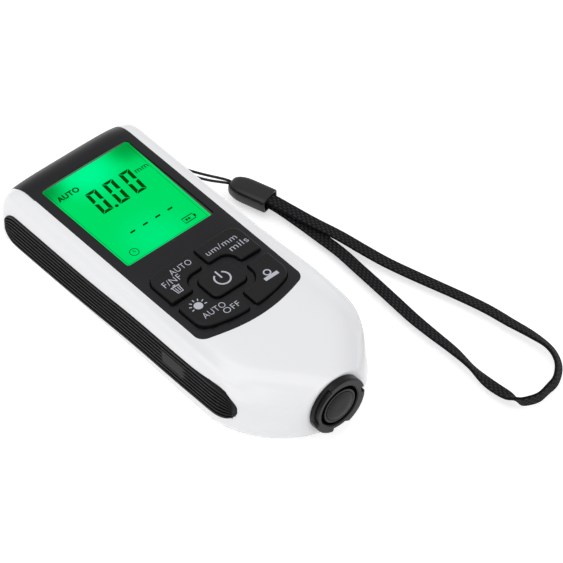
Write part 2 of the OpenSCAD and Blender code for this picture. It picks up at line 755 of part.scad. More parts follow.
// Face panel: the skin of the case inside the panel's outline
module front_panel() {
  color([0.1, 0.1, 0.11]) difference() {
    intersection() {
      case_form();
      translate([0, 0, panel_end_z]) linear_extrude(body_h) panel_outline();
    }
    case_form(panel_t);
    translate([0, 0, body_h - 5]) linear_extrude(10) key_openings();
    display_place(body_h - 5) linear_extrude(10) round_rect(display_w, display_l, 0.8);
  }
}

// Rear half of the case with the battery bay
cradle_t = 1.6;
cradle_places = [housing_y + 3, housing_y + housing_l - 4];
module rear_case() {
  color([0.93, 0.93, 0.94]) difference() {
    union() {
      difference() {
        intersection() {
          case_form();
          slab(-1, part_z);
        }
        case_form(case_wall);
      }
      translate([-bay_w / 2 - bay_wall, bay_low_y - bay_wall, cover_t + fit])
        cube([bay_w + 2 * bay_wall, bay_l + 2 * bay_wall, bay_top_z + bay_roof - cover_t - fit]);
      at_screws() translate([0, 0, case_wall / 2])
        cylinder(r = boss_r, h = boss_split_z - case_wall / 2 - fit);
      for (y = cradle_places) translate([-hole_r - 1.5, y, case_wall / 2])
        cube([2 * hole_r + 3, cradle_t, probe_z - 3 - case_wall / 2]);
    }
    translate([-bay_w / 2, bay_low_y, -1]) cube([bay_w, bay_l, bay_top_z + 1]);
    translate([0, 0, -1]) linear_extrude(cover_t + 1.1) cover_outline(0.2);
    at_cover_tabs() translate([-cover_tab_w / 2 - slip, -cover_tab_l - 2 * slip, cover_t - fit / 2])
      cube([cover_tab_w + 2 * slip, cover_tab_l + cover_lip + 4 * slip, cover_tab_t + 4 * slip]);
    at_screws() {
      translate([0, 0, -1]) cylinder(r = screw_head_r + 0.25, h = screw_seat_z + 1);
      cylinder(d = screw_d + 0.4, h = boss_split_z + 1);
    }
    on_probe_axis(nose_y - 5) cylinder(r = hole_r, h = housing_l + spigot_l + 5 + 2);
  }
}

// Wrist strap: routes are laid by hand, thin cord first, from the bead round the bar and back
cord_route = [[33.2, 26.6, 4.2], [31.5, 27.9, 5.2], [29.6, 29.4, 6.2], [27.6, 31.4, 7.3], [25.9, 33.6, 8.2],
  [24.6, 36.4, 8.8], [23.4, 39.4, 9.2], [22.2, 42.2, 9.3], [20.8, 44.2, 9.3], [19.2, 44.8, 9.2],
  [17.6, 44.3, 9.1], [17.1, 43.0, 9.0], [17.6, 41.7, 9.0], [19.2, 41.2, 8.9], [20.8, 40.8, 8.9],
  [22.0, 38.6, 8.8], [23.2, 35.6, 8.6], [24.5, 32.8, 8.3], [26.2, 30.2, 7.6], [28.4, 28.1, 6.5],
  [30.6, 26.8, 5.3], [32.6, 25.9, 4.2]];
module strap_cord() { color([0.06, 0.06, 0.07]) wire(cord_route, cord_d, 8); }

bead_tip = [33.3, 25.9];
bead_turn = -73;
bead_rise = 0.8;
mouth_w = 5;
mouth_h = 3.8;
mouth_d = 5;
module bead_place() {
  translate([bead_tip[0], bead_tip[1], bead_rise]) rotate([0, 0, bead_turn]) children();
}
module strap_bead() {
  color([0.1, 0.1, 0.11]) bead_place() difference() {
    intersection() {
      linear_extrude(bead_h) {
        translate([bead_w / 2, 0]) circle(bead_w / 2);
        translate([bead_w / 2, -bead_w / 2]) square([bead_l - bead_w / 2, bead_w]);
      }
      rotate([90, 0, 0]) linear_extrude(2 * bead_w, center = true) polygon([[-1, 1.2], [0, 1.2], [2.4, 0],
        [bead_l, 0], [bead_l, bead_h], [2.4, bead_h], [0, bead_h - 1.2], [-1, bead_h - 1.2]]);
    }
    translate([bead_l - mouth_d, -mouth_w / 2, (bead_h - mouth_h) / 2]) cube([mouth_d + 1, mouth_w, mouth_h]);
  }
}

// Woven band: place and lean of the band's flat side at each point of its route
band_route = [[35.6, 18.5, 4.45, 90], [37.0, 14.0, 4.4, 94], [38.4, 9.0, 4.1, 98],
  [40.2, 2.0, 3.6, 102], [42.2, -5.0, 3.2, 106], [43.6, -12.0, 2.8, 108], [45.0, -19.0, 2.6, 110],
  [47.0, -26.0, 2.5, 110], [48.9, -33.0, 2.5, 110], [50.6, -40.0, 2.5, 110], [52.2, -47.0, 2.6, 110],
  [53.6, -53.5, 2.7, 112], [54.8, -60.0, 2.8, 122], [55.0, -66.0, 2.9, 138], [53.4, -71.0, 2.9, 148],
  [50.0, -74.6, 2.8, 142], [45.8, -76.4, 2.7, 122], [41.6, -76.2, 2.6, 100], [38.6, -74.0, 2.6, 76],
  [37.0, -69.8, 2.6, 60], [36.4, -64.5, 2.6, 60], [36.4, -58.0, 2.6, 66], [36.6, -51.0, 2.5, 70],
  [36.4, -44.0, 2.5, 70], [36.4, -37.0, 2.5, 70], [36.8, -30.0, 2.5, 70], [37.3, -23.0, 2.5, 70],
  [37.8, -16.0, 2.4, 70], [38.2, -9.0, 2.3, 72], [38.0, -2.0, 2.2, 76], [37.6, 6.0, 2.3, 82],
  [37.0, 14.0, 2.45, 90], [35.6, 18.5, 2.45, 90]];
band_path = [for (p = band_route) [p[0], p[1], p[2]]];
function band_ring(i) = let (
    t = heading(band_path, i),
    side = unit(cross(t, [0, 0, 1])),
    up = cross(side, t),
    a = band_route[i][3] - 90,
    flat = cos(a) * side + sin(a) * up,
    thick = cos(a) * up - sin(a) * side,
    section = [[-0.5, -0.3], [-0.4, -0.5], [0.4, -0.5], [0.5, -0.3],
      [0.5, 0.3], [0.4, 0.5], [-0.4, 0.5], [-0.5, 0.3]])
  [for (s = section) band_path[i] + s[0] * band_w * flat + s[1] * band_t * thick];
module strap_band() {
  color([0.07, 0.07, 0.08]) skin([for (i = [0 : len(band_route) - 1]) band_ring(i)]);
}

front_case();
rear_case();
front_panel();
grip_left();
grip_right();
display_window();
lcd_glass();
lcd_frame();
backlight_plate();
lcd_connector();
main_board();
controller_chip();
key_switches();
key_power();
key_mode();
key_units();
key_light();
key_zero();
battery_cover();
battery_left();
battery_right();
battery_springs();
battery_contacts();
case_screws();
probe_collar();
probe_housing();
probe_sleeve();
probe_tip();
probe_core();
probe_coil();
probe_spring();
probe_lead();
strap_cord();
strap_bead();
strap_band();
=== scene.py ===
"""Looks of the pocket coating thickness gauge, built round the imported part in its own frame."""

import math

import bpy
import numpy as np
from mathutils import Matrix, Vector
from mathutils.geometry import delaunay_2d_cdt


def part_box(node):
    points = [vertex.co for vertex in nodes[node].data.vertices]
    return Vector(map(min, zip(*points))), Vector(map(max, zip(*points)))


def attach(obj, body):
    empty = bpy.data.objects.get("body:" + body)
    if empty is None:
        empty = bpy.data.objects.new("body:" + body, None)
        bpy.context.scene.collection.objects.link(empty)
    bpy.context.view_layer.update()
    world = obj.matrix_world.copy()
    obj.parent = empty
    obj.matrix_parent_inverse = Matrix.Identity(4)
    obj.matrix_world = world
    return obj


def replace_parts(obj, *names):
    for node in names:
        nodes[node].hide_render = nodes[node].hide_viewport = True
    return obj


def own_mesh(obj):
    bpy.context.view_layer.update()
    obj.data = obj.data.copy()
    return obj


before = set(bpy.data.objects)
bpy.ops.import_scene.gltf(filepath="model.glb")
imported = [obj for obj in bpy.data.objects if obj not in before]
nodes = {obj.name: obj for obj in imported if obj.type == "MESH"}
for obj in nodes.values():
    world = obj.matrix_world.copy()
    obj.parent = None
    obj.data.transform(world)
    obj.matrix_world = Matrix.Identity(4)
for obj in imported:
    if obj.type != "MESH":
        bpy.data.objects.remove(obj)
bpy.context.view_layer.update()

MM = 0.001

# Case form, in millimetres as the part's source has it; wire, travel, cord and band sizes are in metres
TOP_Y, NOSE_Y, NOSE_L = 52.0, -49.8, 20.8
DOME_Y = NOSE_Y + NOSE_L
BODY_W, WAIST_IN, BODY_H = 42.4, 0.5, 20.0
CORNER_R, END_R, END_LOW_R = 4.5, 8.0, 4.0
SHOULDER_W, SHOULDER_H, SWELL_SHOULDER_H = 4.0, 6.5, 4.5
LOW_EDGE_W, LOW_EDGE_H = 4.6, 5.6
NOSE_R, PROBE_Z, PART_Z, NOSE_SLIM = 8.2, 10.8, 4.6, 1.1
SWELL_Y, SWELL_RUN, SKIN_IN = DOME_Y + 7, 27.0, 0.03
HOLE_R = 7.0
SPRING_WIRE, PROBE_TRAVEL, SPRING_TURNS = 0.0007, 0.0015, 6

# Probe collar; gaps between its lugs: from, to, and the slope at either end, in degrees from +X to +Z
COLLAR_R, COLLAR_BORE_R, COLLAR_OUT, COLLAR_ROUND = 7.7, 5.65, 2.0, 0.35
LUG_RING_R, LUG_H, LUG_REACH, LUG_REACH_AT = 6.75, 1.0, 0.45, 305
COLLAR_GAPS = [(-2, 12, 0.4, 0.4), (112, 200, 0.4, 18), (253, 293, 14, 10)]

# Keys: their field, and the notches that make room for the power key in the middle
FACE_Z, KEY_Z, KEY_FOOT_Z, KEY_ROUND = 20.0, 20.9, 18.4, 0.45
POWER_X, POWER_Y, POWER_HALF_L, POWER_R = 5.2, -9.7, 3.9, 1.8
FIELD_X, FIELD_TOP, FIELD_TOP_R = 13.9, 2.2, 3.0
FIELD_ARC_Y, FIELD_ARC_R, FIELD_CORNER_R = 15.0, 36.2, 4.0
SPLIT_Y, HALF_SPLIT, KEY_CORNER_R = -8.9, 1.0, 0.8
NOTCH_X, NOTCH_Y, NOTCH_TOP_R, NOTCH_R = 7.45, 6.15, 3.2, 4.05

# Face panel and display
PANEL_X, PANEL_ARC_R, PANEL_CORNER_R = 16.2, 39.0, 3.4
PANEL_CORNER = (12.8, -18.22)
PANEL_END_Z, PANEL_WALL, PANEL_LAP = 10.0, 0.6, 0.45
END_SUNK_Y, END_SUNK = 41.0, 0.2
CROWN = 0.8
KEY_CLEAR, KEY_HOLE_D = 0.25, 1.2
DISPLAY_X, DISPLAY_Y0, DISPLAY_Y1, DISPLAY_R, DISPLAY_D = 13.6, 8.9, 42.1, 0.8, 0.4
PICTURE_Z, PICTURE_MARGIN = 19.2, 1.0
LEDGE_Y0, LEDGE_Y1 = 8.5, 41.0

# Grips
GRIP_TOP_Y, GRIP_RIGHT_TOP_Y, GRIP_TIP_Y = 48.0, 36.5, DOME_Y - 8.6
GRIP_LOW_Z, GRIP_HIGH_Z, GRIP_LOW_CLIMB, GRIP_CLIMB = 4.0, 14.5, 2.35, 1.95
GRIP_ROUND, GRIP_POINT, GRIP_PROUD, GRIP_SUNK, GRIP_LAP = 4.7, 6.6, 0.3, 0.4, 0.8
GRIP_GROOVES, GROOVE_D, GROOVE_SPAN = 7, 0.6, 0.84
PATCH_Y0, PATCH_Y1, PATCH_V, PATCH_HALF = -22.0, -11.0, 0.1, 0.42

# Strap bar pocket in the right side
EYE_X0, EYE_X1, EYE_Y0, EYE_Y1, EYE_Z0, EYE_Z1 = 16.3, 20.66, 40.0, 46.0, 6.4, 11.8
BAR_X, BAR_R = 18.7, 0.8

# Strap routes: thin cord, then woven band with the lean of its flat side in degrees
CORD_ROUTE = [
    (33.9, 25.0, 3.6), (33.2, 26.6, 4.2), (31.5, 27.9, 5.2), (29.6, 29.4, 6.1), (27.6, 31.4, 6.9),
    (25.9, 33.6, 7.5), (24.6, 36.4, 8.1), (23.4, 39.4, 8.7), (22.2, 42.2, 9.1), (20.8, 44.2, 9.3),
    (19.2, 44.8, 9.2), (17.6, 44.3, 9.1), (17.1, 43.0, 9.0), (17.6, 41.7, 9.0), (19.2, 41.2, 8.9),
    (20.8, 40.8, 8.9), (22.0, 38.6, 8.6), (23.2, 35.6, 8.2), (24.5, 32.8, 7.8), (26.2, 30.2, 7.2),
    (28.4, 28.1, 6.3), (30.6, 26.8, 5.3), (32.6, 25.9, 4.2), (33.6, 24.9, 3.6),
]
CORD_D = 0.0007
BAND_ROUTE = [
    (35.6, 18.5, 4.45, 90), (36.8, 14.0, 4.4, 92), (38.0, 9.0, 4.1, 94), (39.8, 2.0, 3.6, 96),
    (41.8, -5.0, 3.2, 97), (43.3, -12.0, 2.8, 97), (44.8, -19.0, 2.6, 98), (46.8, -26.0, 2.5, 98),
    (48.9, -33.0, 2.5, 100), (51.0, -40.0, 2.5, 102), (52.7, -47.0, 2.6, 104), (53.7, -53.5, 2.7, 108),
    (54.8, -60.0, 2.8, 118), (55.0, -66.0, 2.9, 136), (53.0, -70.9, 2.9, 150), (49.1, -74.2, 2.8, 166),
    (45.3, -75.1, 2.7, 177), (42.0, -75.4, 2.6, 182), (38.6, -74.0, 2.6, 192), (37.7, -72.2, 2.6, 220),
    (37.0, -69.8, 2.6, 254), (36.4, -64.5, 2.6, 256), (36.8, -58.0, 2.6, 226), (37.3, -51.0, 2.5, 243),
    (37.2, -44.0, 2.5, 254), (37.2, -37.0, 2.5, 262), (37.6, -30.0, 2.5, 264), (38.0, -23.0, 2.5, 264),
    (38.4, -16.0, 2.4, 264), (38.8, -9.0, 2.3, 264), (38.6, -2.0, 2.2, 266), (38.1, 6.0, 2.3, 268),
    (37.2, 14.0, 2.45, 270), (35.6, 18.5, 2.45, 270),
]
BAND_W, BAND_T = 0.0034, 0.001

# Strap bead
BEAD_TIP, BEAD_TURN, BEAD_RISE = (33.3, 25.9), -73.0, 1.35
BEAD_L, BEAD_W, BEAD_H = 11.5, 6.4, 4.2

# Light and camera, in metres and degrees
FLOOR_HALF, FLOOR_GLOW, WORLD_LIGHT = 3.0, 0.5, 0.7
CAMERA_AIM, CAMERA_DISTANCE, CAMERA_LENS = (0.011074, -0.018423, 0.019), 0.9839, 264.24
CAMERA_AZIMUTH, CAMERA_ELEVATION = -41.287, 46.707


# Shader groups shared by several materials
def new_group(name, inputs, outputs):
    """A shader node group with named sockets, its way to link sockets, and its input and output nodes."""
    group = bpy.data.node_groups.new(name, "ShaderNodeTree")
    for label, kind, value in inputs:
        socket = group.interface.new_socket(label, in_out="INPUT", socket_type=kind)
        socket.default_value = value
    for label, kind in outputs:
        group.interface.new_socket(label, in_out="OUTPUT", socket_type=kind)
    return group, group.links.new, group.nodes.new("NodeGroupInput"), group.nodes.new("NodeGroupOutput")


def grain_group():
    """Fine moulded grain: noise in object coordinates turned into a small bump."""
    group, link, given, made = new_group(
        "fine_grain",
        [("Scale", "NodeSocketFloat", 2500.0), ("Depth", "NodeSocketFloat", 0.05)],
        [("Normal", "NodeSocketVector")],
    )
    place = group.nodes.new("ShaderNodeTexCoord")
    noise = group.nodes.new("ShaderNodeTexNoise")
    noise.inputs["Detail"].default_value = 2.0
    bump = group.nodes.new("ShaderNodeBump")
    bump.inputs["Distance"].default_value = 0.0002
    link(place.outputs["Object"], noise.inputs["Vector"])
    link(given.outputs["Scale"], noise.inputs["Scale"])
    link(noise.outputs["Fac"], bump.inputs["Height"])
    link(given.outputs["Depth"], bump.inputs["Strength"])
    link(bump.outputs["Normal"], made.inputs["Normal"])
    return group


def spot_group():
    """Soft round spot: 1 at its centre and 0 at its edge, measured in object coordinates."""
    group, link, given, made = new_group(
        "soft_spot",
        [("Centre", "NodeSocketVector", (0.0, 0.0, 0.0)), ("Radius", "NodeSocketFloat", 0.01)],
        [("Amount", "NodeSocketFloat")],
    )
    place = group.nodes.new("ShaderNodeTexCoord")
    away = group.nodes.new("ShaderNodeVectorMath")
    away.operation = "DISTANCE"
    fall = group.nodes.new("ShaderNodeMapRange")
    fall.interpolation_type = "SMOOTHERSTEP"
    for label, value in (("From Min", 0.0), ("To Min", 1.0), ("To Max", 0.0)):
        fall.inputs[label].default_value = value
    link(place.outputs["Object"], away.inputs[0])
    link(given.outputs["Centre"], away.inputs[1])
    link(away.outputs["Value"], fall.inputs["Value"])
    link(given.outputs["Radius"], fall.inputs["From Max"])
    link(fall.outputs["Result"], made.inputs["Amount"])
    return group


def weave_group():
    """Woven cloth: rows of short raised threads along a strap, every other row half a thread on."""
    group, link, given, made = new_group(
        "woven_cloth",
        [
            ("Along", "NodeSocketFloat", 400.0), ("Across", "NodeSocketFloat", 10.0),
            ("Depth", "NodeSocketFloat", 0.6),
        ],
        [("Normal", "NodeSocketVector"), ("Height", "NodeSocketFloat")],
    )
    place = group.nodes.new("ShaderNodeUVMap")
    parts = group.nodes.new("ShaderNodeSeparateXYZ")
    link(place.outputs["UV"], parts.inputs["Vector"])

    def maths(operation, a, b=None):
        """A maths node on sockets or numbers; gives its output."""
        node = group.nodes.new("ShaderNodeMath")
        node.operation = operation
        for i, value in enumerate((a, b)):
            if isinstance(value, (int, float)):
                node.inputs[i].default_value = value
            elif value is not None:
                link(value, node.inputs[i])
        return node.outputs[0]

    along = maths("MULTIPLY", parts.outputs["X"], given.outputs["Along"])
    across = maths("MULTIPLY", parts.outputs["Y"], given.outputs["Across"])
    shift = maths("MULTIPLY", maths("FLOOR", across), 0.5)
    thread = maths("ABSOLUTE", maths("SINE", maths("MULTIPLY", maths("ADD", along, shift), math.pi)))
    row = maths("ABSOLUTE", maths("SINE", maths("MULTIPLY", across, math.pi)))
    height = maths("MULTIPLY", maths("POWER", thread, 1.5), maths("POWER", row, 1.5))
    bump = group.nodes.new("ShaderNodeBump")
    bump.inputs["Distance"].default_value = 0.0003
    link(height, bump.inputs["Height"])
    link(given.outputs["Depth"], bump.inputs["Strength"])
    link(bump.outputs["Normal"], made.inputs["Normal"])
    link(height, made.inputs["Height"])
    return group


GRAIN, SPOT, WEAVE = grain_group(), spot_group(), weave_group()


def add_group(material, group, **values):
    """One use of a shader group in a material, with its sockets set."""
    node = material.node_tree.nodes.new("ShaderNodeGroup")
    node.node_tree = group
    for label, value in values.items():
        node.inputs[label].default_value = value
    return node


def paint(name, colour, rough, metal=0.0, coat=0.0, grain=None, glow=None, shine=0.5):
    """A Principled material, with fine grain as (scale, depth) or a glow as (colour, strength)."""
    material = bpy.data.materials.new(name)
    material.use_nodes = True
    shader = material.node_tree.nodes["Principled BSDF"]
    for label, value in (
        ("Base Color", (*colour, 1.0)), ("Roughness", rough), ("Metallic", metal), ("Coat Weight", coat),
        ("Coat Roughness", 0.08), ("Specular IOR Level", shine),
    ):
        shader.inputs[label].default_value = value
    if grain:
        node = add_group(material, GRAIN, Scale=grain[0], Depth=grain[1])
        material.node_tree.links.new(node.outputs["Normal"], shader.inputs["Normal"])
    if glow:
        shader.inputs["Emission Color"].default_value = (*glow[0], 1.0)
        shader.inputs["Emission Strength"].default_value = glow[1]
    return material


CASE = paint("case_white", (0.88, 0.885, 0.9), 0.25, coat=0.25)
PANEL = paint("panel_black", (0.0065, 0.0068, 0.0085), 0.4, grain=(3500.0, 0.08), shine=0.25)
KEY = paint("key_black", (0.0045, 0.0046, 0.0055), 0.42, grain=(3500.0, 0.1), shine=0.25)
LEGEND = paint("legend_grey", (0.5, 0.51, 0.58), 0.6)
SEGMENT = paint("segment_green", (0.0, 0.01, 0.001), 0.5, glow=((0.0, 0.045, 0.002), 1.0), shine=0.0)
FAINT = paint("faint_segment", (0.0, 0.01, 0.001), 0.5, glow=((0.0, 0.045, 0.003), 1.0), shine=0.0)
UNIT = paint("unit_segment", (0.0, 0.02, 0.004), 0.5, glow=((0.0, 0.15, 0.025), 1.0), shine=0.0)
LEDGE = paint("ledge_grey", (0.2, 0.21, 0.21), 0.3)
# The right wall's ledge: a darker copy of the top ledge's grey, painted as shade.
SHADED_SIDE_LEDGE = paint("side_ledge_painted_shade", (0.085, 0.08, 0.078), 0.4, shine=0.2)
COLLAR = paint("collar_black", (0.004, 0.004, 0.0047), 0.33, grain=(2500.0, 0.06), shine=0.22)
SLEEVE = paint("sleeve_black", (0.007, 0.007, 0.008), 0.3, shine=0.2)
TIP = paint("tip_steel", (0.0055, 0.0055, 0.0062), 0.3, shine=0.12)
STEEL = paint("spring_steel", (0.6, 0.6, 0.62), 0.3, metal=1.0)
FRAME_GREY = paint("lcd_frame_grey", (0.36, 0.37, 0.38), 0.5)
BOARD = paint("board_green", (0.02, 0.12, 0.05), 0.5)
CHIP = paint("chip_black", (0.015, 0.015, 0.016), 0.5)
MILK = paint("backlight_milk", (0.7, 0.8, 0.7), 0.5)
ELASTOMER = paint("connector_rubber", (0.45, 0.2, 0.22), 0.6)
CELL = paint("cell_blue", (0.03, 0.09, 0.3), 0.35)
COPPER = paint("coil_copper", (0.55, 0.24, 0.1), 0.35, metal=1.0)
LEAD = paint("lead_black", (0.012, 0.012, 0.012), 0.6)
CORD = paint("cord_black", (0.008, 0.008, 0.009), 0.65)
BEAD = paint("bead_black", (0.008, 0.008, 0.01), 0.35, grain=(3000.0, 0.06), shine=0.4)


def blend(tree, a, b, factor):
    """A mix of two colours by a factor socket."""
    mix = tree.nodes.new("ShaderNodeMix")
    mix.data_type = "RGBA"
    mix.inputs["A"].default_value = (*a, 1.0)
    mix.inputs["B"].default_value = (*b, 1.0)
    tree.links.new(factor, mix.inputs["Factor"])
    return mix


def band_weave_light_paint():
    """Black woven band: its weave sets the bump, and paints highlights on its threads and shade between."""
    material = paint("band_black", (0.01, 0.01, 0.011), 0.7, shine=0.1)
    tree = material.node_tree
    shader = tree.nodes["Principled BSDF"]
    weave = add_group(material, WEAVE, Along=700.0, Across=5.0, Depth=0.8)
    # Painted highlight and shade: lighter on the raised threads, near black between them.
    shade = blend(tree, (0.004, 0.004, 0.005), (0.045, 0.045, 0.048), weave.outputs["Height"])
    tree.links.new(shade.outputs["Result"], shader.inputs["Base Color"])
    tree.links.new(weave.outputs["Normal"], shader.inputs["Normal"])
    return material


def picture_paint():
    """Backlit green: an even glow with a hot spot near the upper edge and darker upper corners."""
    material = paint("lcd_green", (0.0, 0.004, 0.001), 0.3, shine=0.0)
    tree = material.node_tree
    shader = tree.nodes["Principled BSDF"]
    shader.inputs["Emission Strength"].default_value = 1.0
    last = None
    for x, y, radius, colour in (
        (-0.002, 0.012, 0.014, (0.0, 0.81, 0.2)),
        (-0.001, 0.040, 0.013, (0.0, 0.93, 0.29)),
        (0.0125, 0.041, 0.009, (0.0, 0.36, 0.055)),
        (-0.0135, 0.042, 0.009, (0.0, 0.30, 0.05)),
    ):
        spot = add_group(material, SPOT, Centre=(x, y, PICTURE_Z * MM), Radius=radius)
        mix = blend(tree, (0.0, 0.72, 0.135), colour, spot.outputs["Amount"])
        if last:
            tree.links.new(last.outputs["Result"], mix.inputs["A"])
        last = mix
    tree.links.new(last.outputs["Result"], shader.inputs["Emission Color"])
    return material


def rubber_groove_shade_paint():
    """Black rubber, with painted shade down in its grooves by the groove share kept as the first UV
    coordinate.
    """
    material = paint("grip_rubber", (0.012, 0.012, 0.013), 0.42, shine=0.1)
    tree = material.node_tree
    place = tree.nodes.new("ShaderNodeUVMap")
    parts = tree.nodes.new("ShaderNodeSeparateXYZ")
    tree.links.new(place.outputs["UV"], parts.inputs["Vector"])
    # Painted shade: near black where the groove share is 1, down in the grooves.
    shade = blend(tree, (0.009, 0.009, 0.0102), (0.0005, 0.0005, 0.0005), parts.outputs["X"])
    tree.links.new(shade.outputs["Result"], tree.nodes["Principled BSDF"].inputs["Base Color"])
    return material


BAND, PICTURE, RUBBER = band_weave_light_paint(), picture_paint(), rubber_groove_shade_paint()


# Building new pieces
def piece(name, points, faces, material, body, smooth=True, uv=None):
    """A new mesh piece from points in metres, riding on a body of the part."""
    mesh = bpy.data.meshes.new(name)
    mesh.from_pydata(np.asarray(points, float).tolist(), [], [[int(i) for i in f] for f in faces])
    mesh.polygons.foreach_set("use_smooth", [smooth] * len(mesh.polygons))
    if uv is not None:
        layer = mesh.uv_layers.new(name="UVMap")
        corner = np.zeros(len(mesh.loops), np.int32)
        mesh.loops.foreach_get("vertex_index", corner)
        layer.data.foreach_set("uv", np.asarray(uv, np.float32)[corner].ravel())
    mesh.materials.append(material)
    mesh.update()
    made = bpy.data.objects.new(name, mesh)
    bpy.context.scene.collection.objects.link(made)
    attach(made, body)
    return made


def grid_faces(rows, columns, closed=False):
    """Quads of a grid of points stored row by row; closed joins the last column to the first."""
    j, i = np.meshgrid(np.arange(rows - 1), np.arange(columns if closed else columns - 1), indexing="ij")
    a = j * columns + i
    b = j * columns + (i + 1) % columns
    return np.stack([a, b, b + columns, a + columns], -1).reshape(-1, 4)


def joined(parts):
    """Several (points, faces) put together as one."""
    points, faces, start = [], [], 0
    for p, f in parts:
        points.append(np.asarray(p, float))
        faces += [tuple(int(i) + start for i in q) for q in f]
        start += len(p)
    return np.concatenate(points), faces


def path_length(path):
    """Distance along a path at each of its points."""
    return np.concatenate([[0], np.cumsum(np.linalg.norm(np.diff(path, axis=0), axis=1))])


def clamp01(x):
    """x held between 0 and 1."""
    return np.clip(x, 0.0, 1.0)


def smooth01(x):
    """Smooth step from 0 at 0 to 1 at 1."""
    t = clamp01(x)
    return t * t * (3 - 2 * t)


def dip(t):
    """Drop of a quarter circle of radius 1, from 0 at 0 to 1 at 1."""
    return 1 - np.sqrt(np.maximum(0.0, 1 - t * t))


def squarish(wave, power):
    """A sine or cosine raised to a power with its sign kept, which squares up a round section."""
    return np.sign(wave) * np.abs(wave) ** power


# Case form
def case_sizes(y):
    """Half width, top, bottom and the upper and lower corner sizes of the case's section at y."""
    swell = smooth01((SWELL_Y + SWELL_RUN - y) / SWELL_RUN)
    nose = clamp01((DOME_Y - y) / NOSE_L)

    def end(r):
        """Share of a rounding of radius r at the top end."""
        return dip(clamp01((y - (TOP_Y - r)) / r))

    plain = BODY_W / 2 - WAIST_IN * (1 - swell) - CORNER_R * end(CORNER_R)
    w = NOSE_R + (plain - NOSE_R) * (1 - nose**2) ** 0.6
    high, low = PROBE_Z + NOSE_R, PROBE_Z - NOSE_R
    t = high + (BODY_H - END_R * end(END_R) - high) * (1 - nose**2.6) ** 0.69
    b = low + (END_LOW_R * end(END_LOW_R) - low) * (1 - nose**5) ** 0.46
    half = (t - b) / 2
    toward = nose**1.5

    def part(a, goal, most):
        """A corner size that changes to its goal along the nose, and is never more than most."""
        return np.minimum(a + (goal - a) * toward, most)

    uw = part(SHOULDER_W, w, w - 0.5)
    uh = part(SHOULDER_H + (SWELL_SHOULDER_H - SHOULDER_H) * swell, half, half - 0.3)
    lw = part(LOW_EDGE_W, w, w - 0.5)
    lh = part(LOW_EDGE_H, half, half - 0.3)
    return w, t, b, uw, uh, lw, lh


def slimmed(y, z):
    """Share of the full width at y and height z: less on the nose, least close behind the collar, and all
    at the parting."""
    nose = clamp01((DOME_Y - y) / NOSE_L)
    return 1 - NOSE_SLIM * nose**4 * (1 - nose) * smooth01((z - PART_Z) / 6)


def side_x(y, z):
    """Distance of the case's side from the middle plane at y and height z."""
    w, t, b, uw, uh, lw, lh = case_sizes(y)
    up = clamp01((z - (t - uh)) / uh)
    low = clamp01((b + lh - z) / lh)
    return (w - uw * dip(up) - lw * dip(low)) * slimmed(y, z)


def crowned(x, z):
    """Drop of the face towards its two long edges: a fifth power of the distance from the middle plane,
    which fades out over the shoulders and down the sides."""
    away = np.abs(x)
    drop = CROWN * np.minimum(away / PANEL_X, 1) ** 5
    return drop * smooth01((z - 12) / 7) * (1 - smooth01((away - PANEL_X - 0.9) / 3))


def grip_close(y, end_y):
    """Share of the grip's full height at y: 1 along its length, falling to 0 at its two round ends."""
    return 1 - np.maximum(
        dip(clamp01((y - (end_y - GRIP_ROUND)) / GRIP_ROUND)),
        dip(clamp01((GRIP_TIP_Y + GRIP_POINT - y) / GRIP_POINT)),
    )


def grip_lines(y, end_y):
    """Axis height of the grip at y, and its reach to either side of it: its edges climb from the top end to
    the nose, the shorter right grip's upper one by half as much."""
    climb = GRIP_CLIMB if end_y == GRIP_TOP_Y else GRIP_CLIMB / 2
    high = GRIP_HIGH_Z + climb * smooth01((22 - y) / 50)
    low = GRIP_LOW_Z + GRIP_LOW_CLIMB * smooth01((40 - y) / 75)
    return (high + low) / 2, (high - low) / 2 * grip_close(y, end_y)


def under_panel(x, y, inset):
    """Whether places on the face lie under the panel, by at least the inset from its edge."""
    away = np.abs(x)
    bow = np.hypot(x, np.minimum(y - FIELD_ARC_Y, 0)) < PANEL_ARC_R - inset
    corner = np.hypot(away - PANEL_CORNER[0], y - PANEL_CORNER[1]) < PANEL_CORNER_R - inset
    in_corner = (away > PANEL_CORNER[0]) & (y < PANEL_CORNER[1])
    return (away < PANEL_X - inset) & bow & (corner | ~in_corner)


def evened(row, share):
    """A line over the case whose changes of curvature above the grips are spread over a few millimetres."""
    run = path_length(row)
    even = np.linspace(0, run[-1], len(row))
    soft = np.stack([np.interp(even, run, row[:, k]) for k in range(3)], 1)
    for _ in range(36):
        soft[1:-1] = (soft[:-2] + 2 * soft[1:-1] + soft[2:]) / 4
    back = np.stack([np.interp(run, even, soft[:, k]) for k in range(3)], 1)
    foot = 14 + 2 * smooth01(row[:, :1] / 10)
    return row + share * smooth01((row[:, 2:] - foot) / 3) * (back - row)


